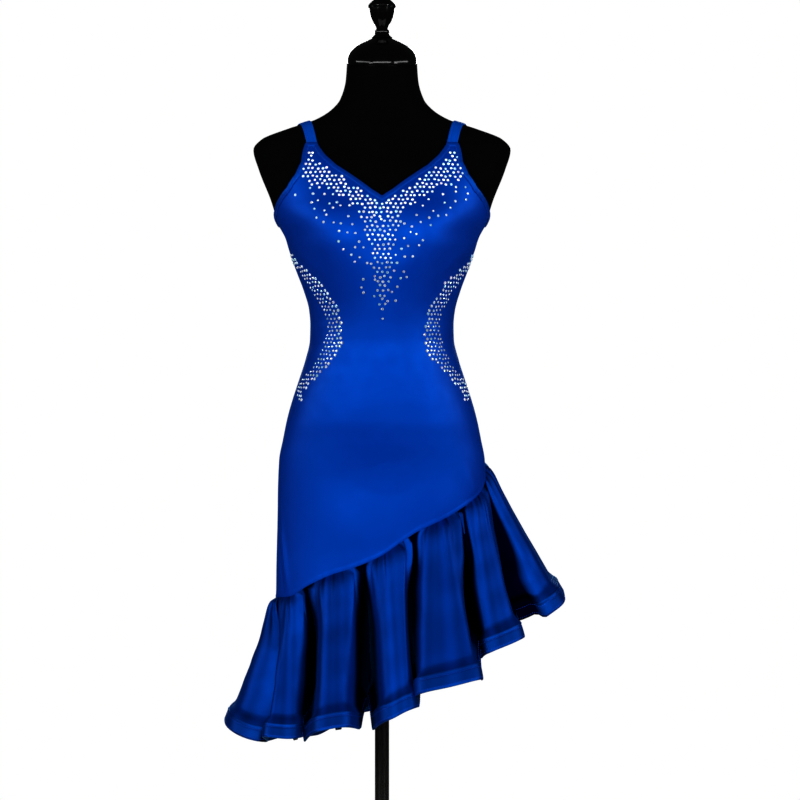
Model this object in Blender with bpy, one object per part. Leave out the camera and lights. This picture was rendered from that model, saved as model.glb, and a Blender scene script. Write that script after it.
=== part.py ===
"""Salsa dance dress on a limbless dress form with a pole stand.

Metres, +Z up.  The dress faces -Y, and +X is to the right of someone who looks at its front.
The origin is the middle of the base's underside, on the pole's axis.

A place on the form is given by its turn and its height.  The turn goes round the form: 0 is the
middle of the front, 90 degrees the side at +X, 180 the middle of the back and -90 (or 270) the
side at -X.  Every cloth piece is a wall between two copies of the same grid of points, one a
little further out than the other.
"""

import math

import bmesh
import bpy
import numpy as np

# ---------------------------------------------------------------- cloth and seams
CLOTH = 0.0012            # wall of the stretch satin
EASE = 0.0020             # air between the form and the cloth
SEAM_GAP = 0.0003         # space between two pieces that meet at a seam
FLOUNCE_GAP = 0.0008      # the same above and below the flounce, whose facets are slanted
BINDING_WIDTH = 0.008
BINDING_WALL = 0.0010
BINDING_LIFT = 0.0008     # air between a panel and the binding on it
STRAP_WIDTH = 0.017
STRAP_WALL = 0.0016
HEM_WIDTH = 0.025         # stiffened band at the flounce's edge
HEM_WALL = 0.0026         # at its lower edge; it starts as thin as the flounce
HEM_LIP = 0.008           # how far the hem curls outwards
LIP_START = 0.84          # share of the flounce's length where the curl starts
FLARE_POWER = 0.88        # 1 would make each fold a straight cone; below 1 it swells
PUFF = 0.006              # how far the gathers stand out just under the seam
PUFF_PLACE = 0.12         # share of the flounce's length where they stand out most

# ---------------------------------------------------------------- form
FORM_BOTTOM = 0.700
NECK_TOP = 1.466
NECK_TILT = 0.21          # rise from front to back of the neck's cut top, per metre
NECK_TILT_START = 1.415
NECK_CENTRE = -0.014      # the neck leans forward by this much at its top
BUST_APEX = 0.078         # from the middle of the front to the fullest point
BUST_HEIGHT = 1.178
BUST_STAND = 0.030
BUST_SPREAD = 0.066
BUST_RISE = 0.070         # fades over this height above the fullest point
BUST_DROP = 0.052         # and over this height below it
BUST_MIDDLE_DROP = 0.110  # but over this one between the breasts
BUST_MIDDLE_WIDTH = 0.062
BUST_SIDE_FADE = 1.2

# ---------------------------------------------------------------- stand
POLE_RADIUS = 0.0113
POLE_FOOT = 0.0303

# Form: height, half width, depth to the front and to the back of the pole's axis, squareness
# of the section (2 is an ellipse).
BODY = np.array([
    (0.600, 0.1670, 0.0960, 0.1260, 2.10),
    (0.700, 0.1650, 0.0918, 0.1270, 2.10),
    (0.800, 0.1630, 0.0938, 0.1290, 2.10),
    (0.834, 0.1615, 0.0962, 0.1300, 2.10),
    (0.866, 0.1555, 0.1005, 0.1280, 2.10),
    (0.898, 0.1490, 0.1042, 0.1220, 2.10),
    (0.930, 0.1402, 0.1050, 0.1120, 2.10),
    (0.962, 0.1298, 0.1045, 0.1000, 2.10),
    (0.994, 0.1194, 0.1030, 0.0890, 2.10),
    (1.026, 0.1122, 0.1010, 0.0780, 2.10),
    (1.050, 0.1115, 0.1008, 0.0740, 2.10),
    (1.074, 0.1138, 0.1012, 0.0760, 2.10),
    (1.106, 0.1226, 0.1015, 0.0880, 2.15),
    (1.138, 0.1346, 0.1015, 0.0970, 2.20),
    (1.170, 0.1458, 0.1000, 0.1040, 2.30),
    (1.190, 0.1520, 0.1000, 0.1070, 2.35),
    (1.220, 0.1680, 0.0990, 0.1090, 2.45),
    (1.250, 0.1780, 0.0940, 0.1080, 2.50),
    (1.298, 0.1970, 0.0790, 0.1020, 2.60),
    (1.330, 0.2056, 0.0640, 0.0900, 2.60),
    (1.346, 0.1930, 0.0570, 0.0800, 2.50),
    (1.362, 0.1544, 0.0530, 0.0710, 2.30),
    (1.378, 0.1064, 0.0560, 0.0650, 2.10),
    (1.394, 0.0808, 0.0600, 0.0600, 2.00),
    (1.410, 0.0672, 0.0630, 0.0550, 2.00),
    (1.440, 0.0580, 0.0670, 0.0470, 2.00),
    (1.466, 0.0560, 0.0700, 0.0420, 2.00),
])

# Top edges of the panels from the middle to the side seam: distance across, height.
FRONT_TOP = np.array([
    (0.0000, 1.2470),
    (0.0170, 1.2580),
    (0.0430, 1.2775),
    (0.0720, 1.2975),
    (0.0890, 1.3135),
    (0.1025, 1.3345),
    (0.1188, 1.3345),
    (0.1260, 1.3030),
    (0.1345, 1.2840),
    (0.1475, 1.2640),
    (0.1580, 1.2510),
    (0.1670, 1.2310),
])
BACK_TOP = np.array([
    (0.0000, 1.2080),
    (0.0300, 1.2140),
    (0.0550, 1.2320),
    (0.0720, 1.2570),
    (0.0820, 1.2850),
    (0.0990, 1.2850),
    (0.1100, 1.2560),
    (0.1270, 1.2350),
    (0.1460, 1.2220),
])
STRAP_POINT_FRONT = 5     # row of FRONT_TOP at the strap point's inner corner
STRAP_POINT_BACK = 4      # and of BACK_TOP
SIDE_TOP = 1.2150         # height of both panels' top at the side seam

# Straps: distance of the strap's middle from the middle of the dress.
STRAP_FRONT = 0.1107      # at the front point
STRAP_TOP = 0.1285        # where it crosses the shoulder
STRAP_BACK = 0.0905       # at the back point
STRAP_CREST = 0.45        # share of the strap's length from the front point to the crossing
SHOULDER_MIDDLE = (0.010, 1.270)     # y and height of the line that the straps turn about
SHOULDER_REACH = 0.160    # farther from that line than any point of the shoulder

# Seam between skirt and flounce: turn in degrees, height.
SKIRT_SEAM = np.array([
    (-90, 0.614),
    (-58, 0.620),
    (-43, 0.638),
    (-28, 0.656),
    (-14, 0.669),
    (0, 0.687),
    (10, 0.707),
    (20, 0.725),
    (35, 0.743),
    (50, 0.762),
    (67, 0.782),
    (80, 0.800),
    (90, 0.822),
    (100, 0.833),
    (112, 0.818),
    (130, 0.770),
    (150, 0.716),
    (180, 0.655),
    (210, 0.616),
    (240, 0.600),
    (270, 0.614),
])

# Hanging folds of the flounce, round from the -X side over the front: the turn of the groove
# before the fold, at the seam; where that groove ends at the hem, x and y, and its cloth's length
# from seam to hem; where the fold's ridge ends at the hem, x and y, and its cloth's length; and
# how much wider than its grooves the fold bulges.
FOLDS = np.array([
    (-100, -0.205, 0.060, 0.217, -0.245, 0.002, 0.214, 0.010),
    (-76, -0.174, -0.082, 0.229, -0.155, -0.142, 0.230, 0.012),
    (-43, -0.122, -0.085, 0.230, -0.078, -0.200, 0.253, 0.002),
    (-11, -0.022, -0.088, 0.222, 0.024, -0.195, 0.263, 0.004),
    (17, 0.054, -0.092, 0.234, 0.101, -0.195, 0.271, 0.024),
    (47, 0.147, -0.095, 0.226, 0.192, -0.128, 0.245, 0.013),
    (79, 0.203, -0.046, 0.226, 0.286, 0.006, 0.240, 0.018),
    (103, 0.200, 0.070, 0.228, 0.232, 0.140, 0.245, 0.012),
    (128, 0.158, 0.124, 0.232, 0.150, 0.212, 0.250, 0.012),
    (153, 0.095, 0.142, 0.230, 0.064, 0.238, 0.254, 0.016),
    (178, 0.018, 0.146, 0.238, -0.030, 0.244, 0.266, 0.016),
    (203, -0.072, 0.142, 0.250, -0.118, 0.216, 0.272, 0.012),
    (230, -0.140, 0.118, 0.236, -0.196, 0.136, 0.252, 0.008),
])
TURN, GROOVE, GROOVE_LENGTH, RIDGE, RIDGE_LENGTH, BULGE = 0, slice(1, 3), 3, slice(4, 6), 6, 7
LEFT_SPLIT = 0.4          # the halves of the flounce part here and at RIGHT_SPLIT, in folds
RIGHT_SPLIT = 6.5

# Lathe outlines: distance from the axis, height.
CAP_OUTLINE = [
    (0.0555, 1.4663),
    (0.0555, 1.4770),
    (0.0520, 1.4850),
    (0.0420, 1.4940),
    (0.0300, 1.5010),
    (0.0170, 1.5060),
]
FINIAL_OUTLINE = [
    (0.0168, 1.5063),
    (0.0165, 1.5110),
    (0.0116, 1.5150),
    (0.0112, 1.5200),
    (0.0094, 1.5230),
    (0.0130, 1.5310),
    (0.0190, 1.5430),
    (0.0222, 1.5540),
    (0.0215, 1.5610),
    (0.0150, 1.5680),
    (0.0105, 1.5740),
    (0.0130, 1.5820),
    (0.0120, 1.5900),
    (0.0060, 1.5960),
]
BASE_OUTLINE = [
    (0.1750, 0.0000),
    (0.1750, 0.0090),
    (0.1700, 0.0140),
    (0.1200, 0.0170),
    (0.0400, 0.0200),
    (0.0260, 0.0240),
    (0.0220, 0.0300),
]

# ---------------------------------------------------------------- fineness
NECKLINE_COLUMNS = 5
ARMHOLE_COLUMNS = 8
COLUMN_CROWDING = 1.4     # above 1 the armhole's columns crowd towards the steep strap point
SKIRT_ROWS = 5            # between the seam and the first level
BODICE_ROWS = 7           # between the last level and the binding
FIRST_LEVEL = 0.898       # between these levels a panel's rows follow the form's
FRONT_LEVEL = 1.190
BACK_LEVEL = 1.154
FOLD_COLUMNS = 12
FORM_BETWEEN = (0.750, 1.154, 1.205, 1.235, 1.266, 1.282, 1.314)   # rows besides the table's
FORM_LEVELS = np.sort(np.append(BODY[BODY[:, 0] >= FORM_BOTTOM, 0], FORM_BETWEEN))
STRAP_ROWS = 16
LATHE_SIDES = 28
FLOUNCE_SHARES = np.array([0.0, 0.13, 0.52, 0.86, 1.0])
HALVINGS = 40             # steps of each search for a point on a surface
SMALL = 1e-5              # step for slopes, and the most by which equal turns differ
SMOOTH_ANGLE = 50         # degrees; sharper edges stay sharp

# Finishes: base colour, roughness, metallic.
SATIN = ("blue_satin", (0.004, 0.050, 0.430), 0.42, 0.0)
SATIN_BINDING = ("blue_satin_binding", (0.005, 0.060, 0.480), 0.42, 0.0)
JERSEY = ("black_jersey", (0.006, 0.006, 0.007), 0.90, 0.0)
LACQUER = ("black_lacquer", (0.005, 0.005, 0.006), 0.18, 0.0)
STEEL = ("black_steel", (0.010, 0.010, 0.011), 0.30, 1.0)


# ---------------------------------------------------------------- curves through table rows
def monotone(knots, values, where):
    """Cubic through the rows of a table that never overshoots them."""
    steps = np.diff(knots)
    slopes = np.diff(values) / steps
    product = slopes[:-1] * slopes[1:]
    total = slopes[:-1] + slopes[1:]
    tangents = np.concatenate([slopes[:1], np.zeros(len(slopes) - 1), slopes[-1:]])
    same_way = product > 0
    tangents[1:-1][same_way] = 2 * product[same_way] / total[same_way]
    index = np.clip(np.searchsorted(knots, where) - 1, 0, len(steps) - 1)
    step = steps[index]
    share = (where - knots[index]) / step
    rest = 1 - share
    return (values[index] * rest**2 * (1 + 2 * share)
            + values[index + 1] * share**2 * (1 + 2 * rest)
            + step * share * rest * (tangents[index] * rest - tangents[index + 1] * share))


def smooth_step(low, high, where):
    """0 below low, 1 above high, with a smooth run between them."""
    share = np.clip((where - low) / (high - low), 0.0, 1.0)
    return share * share * (3 - 2 * share)


# ---------------------------------------------------------------- the form's surface
def section(height):
    """Half width, front depth, back depth and squareness at a height."""
    return [monotone(BODY[:, 0], BODY[:, column], height) for column in range(1, 5)]


def bust(across, height, facing):
    """How far the bust stands forward of the plain section."""
    spread = (np.exp(-((across - BUST_APEX) / BUST_SPREAD)**2)
              + np.exp(-((across + BUST_APEX) / BUST_SPREAD)**2))
    drop = (BUST_DROP + (BUST_MIDDLE_DROP - BUST_DROP)
            * np.exp(-(across / BUST_MIDDLE_WIDTH)**2))
    run = np.where(height > BUST_HEIGHT, BUST_RISE, drop)
    return (BUST_STAND * spread * np.exp(-((height - BUST_HEIGHT) / run)**2)
            * np.maximum(facing, 0.0)**BUST_SIDE_FADE)


def body_point(turn, height):
    """Point of the form's surface at a turn, in radians, and a height."""
    half, front, back, square = section(height)
    sine, cosine = np.sin(turn), np.cos(turn)
    reach = (np.abs(sine)**square + np.abs(cosine)**square)**(-1 / square)
    across = half * reach * sine
    depth = np.where(cosine > 0, front, back) * reach * cosine
    along = -depth - bust(across, height, cosine)
    tilt = NECK_TILT * smooth_step(NECK_TILT_START, NECK_TOP, height)
    return np.stack([across, along, height + tilt * (along - NECK_CENTRE)], axis=-1)


def slopes(turn, height):
    """How the surface point moves with the turn and with the height."""
    by_turn = body_point(turn + SMALL, height) - body_point(turn - SMALL, height)
    by_height = body_point(turn, height + SMALL) - body_point(turn, height - SMALL)
    return by_turn / (2 * SMALL), by_height / (2 * SMALL)


def unit(vectors):
    """The same directions with a length of one."""
    return vectors / np.linalg.norm(vectors, axis=-1, keepdims=True)


def skin(turn, height, out):
    """Point that lies a distance out from the form's surface."""
    turn, height = np.broadcast_arrays(np.asarray(turn, float), np.asarray(height, float))
    by_turn, by_height = slopes(turn, height)
    return body_point(turn, height) + out * unit(np.cross(by_turn, by_height))


def turn_at(across, height):
    """Turn, from 0 to 90 degrees, at which the surface is a distance across from the middle."""
    low, high = np.zeros_like(across), np.full_like(across, math.pi / 2)
    for _ in range(HALVINGS):
        middle = (low + high) / 2
        wide = body_point(middle, height)[..., 0] > across
        high = np.where(wide, middle, high)
        low = np.where(wide, low, middle)
    return (low + high) / 2


# ---------------------------------------------------------------- meshes
def add_object(name, points, faces, finish):
    """Closed body with its faces pointing out, in its own material."""
    mesh = bpy.data.meshes.new(name)
    mesh.from_pydata([tuple(point) for point in points], [], faces)
    body = bmesh.new()
    body.from_mesh(mesh)
    bmesh.ops.recalc_face_normals(body, faces=body.faces)
    body.to_mesh(mesh)
    body.free()
    mesh.shade_smooth()
    mesh.set_sharp_from_angle(angle=math.radians(SMOOTH_ANGLE))
    mesh.materials.append(material(*finish))
    thing = bpy.data.objects.new(name, mesh)
    bpy.context.scene.collection.objects.link(thing)
    return thing


def material(name, colour, roughness, metallic):
    """Principled material, made once for each name."""
    made = bpy.data.materials.get(name)
    if made is None:
        made = bpy.data.materials.new(name)
        made.use_nodes = True
        shader = made.node_tree.nodes["Principled BSDF"]
        shader.inputs["Base Color"].default_value = (*colour, 1.0)
        shader.inputs["Roughness"].default_value = roughness
        shader.inputs["Metallic"].default_value = metallic
    return made


def grid_faces(index):
    """Triangles of a grid of point numbers, all cut on the same diagonal, so that layers agree."""
    first = np.stack([index[:-1, :-1], index[:-1, 1:], index[1:, 1:]], axis=-1)
    second = np.stack([index[:-1, :-1], index[1:, 1:], index[1:, :-1]], axis=-1)
    return np.concatenate([first.reshape(-1, 3), second.reshape(-1, 3)]).tolist()


def add_wall(name, outer, inner, finish):
    """Cloth: the wall between an outer and an inner grid of points, closed along its four edges."""
    count = outer.shape[0] * outer.shape[1]
    front = np.arange(count).reshape(outer.shape[:2])
    rim = np.concatenate([front[0, :], front[1:, -1], front[-1, -2::-1], front[-2::-1, 0]])
    faces = grid_faces(front) + grid_faces(front + count) + grid_faces(np.stack([rim, rim + count]))
    points = np.concatenate([outer.reshape(-1, 3), inner.reshape(-1, 3)])
    return add_object(name, points, faces, finish)


def add_turned(name, rings, finish):
    """Solid between closed rings of points, from the lowest to the highest, with flat ends."""
    rows, sides = rings.shape[:2]
    index = np.arange(rows * sides).reshape(rows, sides)
    faces = grid_faces(np.concatenate([index, index[:, :1]], axis=1))
    faces += [index[0].tolist()[::-1], index[-1].tolist()]
    return add_object(name, rings.reshape(-1, 3), faces, finish)


def lathe(outline, centre_y, sides):
    """Rings of an outline turned about an upright axis."""
    radius, height = np.array(outline).T
    around = np.arange(sides) * 2 * math.pi / sides
    return np.stack(np.broadcast_arrays(radius[:, None] * np.cos(around),
                                        centre_y + radius[:, None] * np.sin(around),
                                        height[:, None]), axis=-1)


# ---------------------------------------------------------------- bodice and skirt
def top_edge(rows):
    """Turns and heights of a panel's top edge from the middle to the side seam."""
    turns = turn_at(rows[:, 0], rows[:, 1])
    return np.append(turns, math.pi / 2), np.append(rows[:, 1], SIDE_TOP)


def panel_turns(rows, corner):
    """Columns of half a panel, with one on each corner of the strap point."""
    turns, _ = top_edge(rows)
    neckline = np.linspace(0.0, turns[corner], NECKLINE_COLUMNS)
    share = np.linspace(0.0, 1.0, ARMHOLE_COLUMNS)**COLUMN_CROWDING
    armhole = turns[corner + 1] + (math.pi / 2 - turns[corner + 1]) * share
    return np.concatenate([neckline, armhole])


def both_sides(half):
    """Turns of a whole panel about its middle, a half gap short of the side seams."""
    whole = np.concatenate([-half[:0:-1], half])
    trim = SEAM_GAP / 2 / BODY[:, 1].min()
    return np.clip(whole, -math.pi / 2 + trim, math.pi / 2 - trim)


def edge_heights(turns, rows):
    """Heights of a panel's top edge at turns counted from the panel's middle."""
    return np.interp(np.abs(turns), *top_edge(rows))


FRONT_TURNS = both_sides(panel_turns(FRONT_TOP, STRAP_POINT_FRONT))
BACK_TURNS = both_sides(panel_turns(BACK_TOP, STRAP_POINT_BACK))


def seam_height(turn):
    """Height of the skirt's seam with the flounce."""
    return monotone(np.radians(SKIRT_SEAM[:, 0]), SKIRT_SEAM[:, 1], turn)


def panel_heights(turns, rows, middle, highest_level):
    """Heights of a panel's grid, from the slanting seam to the top edge.

    Rows rise evenly from the seam to the first level, follow the form's own rows up to the
    highest level, rise evenly again to the binding's lower edge, and end on the top edge.
    """
    low = seam_height(middle + turns)
    high = edge_heights(turns, rows)
    across = body_point(turns, high)[:, :2]
    run = np.linalg.norm(np.gradient(across, axis=0), axis=-1)
    bound = high - BINDING_WIDTH * np.hypot(1.0, np.gradient(high) / run)
    levels = FORM_LEVELS[(FORM_LEVELS >= FIRST_LEVEL) & (FORM_LEVELS <= highest_level)]
    skirt = np.linspace(low, np.full_like(low, levels[0]), SKIRT_ROWS, endpoint=False)
    even = np.repeat(levels[:, None], len(turns), axis=1)
    bodice = np.linspace(even[-1], bound, BODICE_ROWS)[1:]
    return np.vstack([skirt, even, bodice, high])


def add_layer(name, turns, heights, inside_out, wall, finish):
    """Wall of cloth on the form's surface, with its inner face a distance out from it."""
    add_wall(name, skin(turns, heights, inside_out + wall), skin(turns, heights, inside_out), finish)


def add_bodice_and_skirt():
    """Front and back panel, and the strips of binding on their top edges."""
    front = panel_heights(FRONT_TURNS, FRONT_TOP, 0.0, FRONT_LEVEL)
    back = panel_heights(BACK_TURNS, BACK_TOP, math.pi, BACK_LEVEL)
    add_layer("front_panel", FRONT_TURNS, front, EASE, CLOTH, SATIN)
    add_layer("back_panel", math.pi + BACK_TURNS, back, EASE, CLOTH, SATIN)
    lift = EASE + CLOTH + BINDING_LIFT
    for side, turns, heights, rows, corner, middle in (
            ("front", FRONT_TURNS, front, FRONT_TOP, STRAP_POINT_FRONT, 0.0),
            ("back", BACK_TURNS, back, BACK_TOP, STRAP_POINT_BACK, math.pi)):
        neck = np.abs(turns) < top_edge(rows)[0][corner] + SMALL
        add_layer(f"neck_binding_{side}", middle + turns[neck], heights[-2:, neck], lift,
                  BINDING_WALL, SATIN_BINDING)
    arm_front = FRONT_TURNS > top_edge(FRONT_TOP)[0][STRAP_POINT_FRONT + 1] - SMALL
    arm_back = BACK_TURNS < SMALL - top_edge(BACK_TOP)[0][STRAP_POINT_BACK + 1]
    turns = np.concatenate([FRONT_TURNS[arm_front], math.pi + BACK_TURNS[arm_back]])
    heights = np.hstack([front[-2:, arm_front], back[-2:, arm_back]])
    add_layer("armhole_binding_right", turns, heights, lift, BINDING_WALL, SATIN_BINDING)
    add_layer("armhole_binding_left", -turns, heights, lift, BINDING_WALL, SATIN_BINDING)


# ---------------------------------------------------------------- straps
def inside(across, along, height):
    """Below zero inside the form's plain section and above zero outside it."""
    half, front, back, square = section(height)
    depth = np.where(along < 0, front, back)
    return (np.abs(across) / half)**square + (np.abs(along) / depth)**square - 1


def shoulder_point(across, lean, out):
    """Point over the shoulder: lean 0 looks forward from the shoulder's middle, 90 up."""
    near, far = np.zeros_like(across), np.full_like(across, SHOULDER_REACH)

    def at(distance):
        return (SHOULDER_MIDDLE[0] - distance * np.cos(lean),
                SHOULDER_MIDDLE[1] + distance * np.sin(lean))

    for _ in range(HALVINGS):
        middle = (near + far) / 2
        within = inside(across, *at(middle)) < 0
        near = np.where(within, middle, near)
        far = np.where(within, far, middle)
    along, height = at((near + far) / 2)
    steps = [(SMALL, 0, 0), (0, SMALL, 0), (0, 0, SMALL)]
    normal = np.stack([inside(across + x, along + y, height + z)
                       - inside(across - x, along - y, height - z) for x, y, z in steps], axis=-1)
    return np.stack([across, along, height], axis=-1) + out * unit(normal)


def end_lean(across, height, column, sign):
    """Lean of the form's surface at a height on its front (sign -1) or its back (sign 1)."""
    half, *depths, square = section(np.full_like(across, height))
    along = sign * depths[column] * (1 - (across / half)**square)**(1 / square)
    return np.arctan2(height - SHOULDER_MIDDLE[1], SHOULDER_MIDDLE[0] - along)


def add_strap(name, side):
    """Strap from the front point over the shoulder to the back point."""
    share = np.linspace(0.0, 1.0, STRAP_ROWS)[:, None]
    middle = monotone(np.array([0.0, STRAP_CREST, 1.0]), np.array([STRAP_FRONT, STRAP_TOP, STRAP_BACK]),
                      share)
    across = middle + np.array([-0.5, 0.0, 0.5]) * STRAP_WIDTH
    start = end_lean(across[0], FRONT_TOP[STRAP_POINT_FRONT, 1] + 2 * SEAM_GAP, 0, -1)
    end = end_lean(across[-1], BACK_TOP[STRAP_POINT_BACK, 1] + 2 * SEAM_GAP, 1, 1)
    lean = start + (end - start) * share
    mirror = np.array([side, 1, 1])
    add_wall(name, shoulder_point(across, lean, EASE + STRAP_WALL) * mirror,
             shoulder_point(across, lean, EASE) * mirror, SATIN_BINDING)


# ---------------------------------------------------------------- flounce
def skirt_edge(turn, out):
    """The skirt's lower edge at a turn, on the straight run between two panel columns."""
    columns = np.concatenate([FRONT_TURNS, math.pi + BACK_TURNS])
    points = skin(columns, seam_height(columns), out)
    return np.stack([np.interp(turn, columns, points[:, axis]) for axis in range(3)], axis=-1)


def flounce_columns(place):
    """Seam turn, hem x and y, and cloth length at places counted in folds."""
    lap, fold = np.divmod(np.floor(place).astype(int), len(FOLDS))
    row, after = FOLDS[fold], FOLDS[(fold + 1) % len(FOLDS)]
    share = (place - np.floor(place))[:, None]
    swing = 2 * math.pi * share - math.pi
    width = (after[:, TURN] - row[:, TURN]) % 360
    turn = row[:, TURN] + 360 * lap + width * share[:, 0]
    start, end, ridge = row[:, GROOVE], after[:, GROOVE], row[:, RIDGE]
    stand = ridge - (start + end) / 2
    sideways = unit(np.stack([-stand[:, 1], stand[:, 0]], axis=-1))
    bulge = row[:, BULGE, None] * np.sin(swing)
    hem = start + (end - start) * share + (stand + sideways * bulge) * (1 + np.cos(swing)) / 2
    halves = np.arange(-2, 2 * len(FOLDS) + 2)
    lengths = FOLDS[:, [GROOVE_LENGTH, RIDGE_LENGTH]].ravel()
    length = monotone(halves / 2, lengths[halves % len(lengths)], place)
    return np.radians(turn), hem, length


def flounce_seam(place, out):
    """Top edge of the flounce, a gap below the skirt's lower edge."""
    turn = flounce_columns(place)[0]
    turn = np.where(turn < -math.pi / 2, turn + 2 * math.pi, turn)
    return skirt_edge(turn, out) - np.array([0.0, 0.0, FLOUNCE_GAP])


def flounce_point(place, share):
    """Middle of the flounce's wall: places round it in folds, shares of the way to the hem."""
    _, hem, length = flounce_columns(place)
    seam = flounce_seam(place, EASE + CLOTH / 2)
    away = hem - seam[:, :2]
    drop = np.sqrt(length**2 - (away**2).sum(-1))
    path = unit(np.gradient(hem, axis=0))
    outwards = np.stack([path[:, 1], -path[:, 0]], axis=-1)
    share = share[:, None]
    curl = HEM_LIP * smooth_step(LIP_START, 1.0, share)**2
    puff = PUFF * share / PUFF_PLACE * np.exp(1 - share / PUFF_PLACE)
    flat = (seam[:, :2] + away * share[..., None]**FLARE_POWER
            + outwards * (curl + puff)[..., None])
    height = seam[:, 2] - drop * share
    return np.concatenate([flat, height[..., None]], axis=-1)


def add_flounce_half(side, first, last):
    """Half the flounce and its hem band, between two places counted in folds."""
    count = round((last - first) * FOLD_COLUMNS) + 1
    trim = SEAM_GAP / 2 / BODY[0, 1] * len(FOLDS) / (2 * math.pi)
    place = np.clip(np.linspace(first, last, count), first + trim, last - trim)
    band_start = 1 - HEM_WIDTH / flounce_columns(place)[2].mean()
    middle = flounce_point(place, np.append(FLOUNCE_SHARES * band_start, 1.0))
    outwards = unit(np.cross(np.gradient(middle, axis=0), np.gradient(middle, axis=1)))
    outwards[-2] = unit(outwards[-2] * np.array([1.0, 1.0, 0.0]))
    outer = middle[:-1] + outwards[:-1] * CLOTH / 2
    inner = middle[:-1] - outwards[:-1] * CLOTH / 2
    outer[0] = flounce_seam(place, EASE + CLOTH)
    inner[0] = flounce_seam(place, EASE)
    add_wall(f"flounce_{side}", outer, inner, SATIN)
    half_wall = outwards[-2:] * np.array([CLOTH, HEM_WALL])[:, None, None] / 2
    band = middle[-2:] - np.array([[[0.0, 0.0, FLOUNCE_GAP]], [[0.0, 0.0, 0.0]]])
    add_wall(f"hem_band_{side}", band + half_wall, band - half_wall, SATIN_BINDING)


# ---------------------------------------------------------------- form and stand
def add_form():
    """Limbless torso with a neck, shoulders and flat slanting arm ends."""
    front = panel_turns(FRONT_TOP, STRAP_POINT_FRONT)
    back = math.pi - panel_turns(BACK_TOP, STRAP_POINT_BACK)[-2::-1]
    half = np.concatenate([front, back])
    turns = np.concatenate([half, 2 * math.pi - half[-2:0:-1]])
    rings = body_point(*np.broadcast_arrays(turns, FORM_LEVELS[:, None]))
    add_turned("form_torso", rings, JERSEY)


def add_neck_cap():
    """Domed cap on the slanting neck: the slant fades out at the flat boss under the finial."""
    rings = lathe(CAP_OUTLINE, NECK_CENTRE, LATHE_SIDES)
    radius = np.array([row[0] for row in CAP_OUTLINE])
    slant = NECK_TILT * (radius - radius[-1]) / (radius[0] - radius[-1])
    rings[..., 2] += slant[:, None] * (rings[..., 1] - NECK_CENTRE)
    add_turned("neck_cap", rings, LACQUER)


def add_stand():
    """Finial, pole and weighted base."""
    add_turned("finial", lathe(FINIAL_OUTLINE, NECK_CENTRE, LATHE_SIDES), LACQUER)
    pole = [(POLE_RADIUS, POLE_FOOT), (POLE_RADIUS, FORM_BOTTOM - SEAM_GAP)]
    add_turned("pole", lathe(pole, 0.0, LATHE_SIDES), STEEL)
    add_turned("base", lathe(BASE_OUTLINE, 0.0, 2 * LATHE_SIDES), STEEL)


def main():
    for thing in list(bpy.data.objects):
        bpy.data.objects.remove(thing, do_unlink=True)
    add_form()
    add_neck_cap()
    add_stand()
    add_bodice_and_skirt()
    add_strap("strap_left", -1)
    add_strap("strap_right", 1)
    add_flounce_half("front", LEFT_SPLIT, RIGHT_SPLIT)
    add_flounce_half("back", RIGHT_SPLIT, len(FOLDS) + LEFT_SPLIT)


main()
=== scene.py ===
"""Looks of a salsa dance dress on a limbless dress form with a pole stand.

Metres, +Z up.  The dress faces -Y, and +X is to the right of someone who looks at its front.  A
place on the form is given by its turn and its height.  The turn goes round the form in radians:
0 is the middle of the front, a quarter turn the side at +X and half a turn the middle of the back.
A place on the flounce is counted in hanging folds, and a share runs from its seam to its hem.
"""

import logging
import math
from dataclasses import dataclass
from enum import Enum

import bmesh
import bpy
import numpy as np
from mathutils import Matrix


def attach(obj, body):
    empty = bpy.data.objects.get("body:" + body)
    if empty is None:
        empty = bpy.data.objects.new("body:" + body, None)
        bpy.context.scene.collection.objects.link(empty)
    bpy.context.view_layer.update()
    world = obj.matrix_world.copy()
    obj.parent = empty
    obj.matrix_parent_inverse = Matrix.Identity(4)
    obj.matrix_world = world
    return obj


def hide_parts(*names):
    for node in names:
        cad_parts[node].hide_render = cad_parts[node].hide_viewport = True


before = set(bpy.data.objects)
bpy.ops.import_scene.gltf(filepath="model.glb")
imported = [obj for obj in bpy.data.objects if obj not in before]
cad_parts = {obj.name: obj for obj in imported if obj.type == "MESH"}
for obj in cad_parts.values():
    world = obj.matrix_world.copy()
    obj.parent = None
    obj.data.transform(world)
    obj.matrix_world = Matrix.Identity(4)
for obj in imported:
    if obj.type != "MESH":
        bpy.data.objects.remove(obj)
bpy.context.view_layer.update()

LOG = logging.getLogger("dance_dress")
Array = np.ndarray
BODY_NAME = "root"
# Painted shade of the inner side of the flounce and its hem band.
INSIDE_PAINTED_SHADE = 0.62

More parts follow.
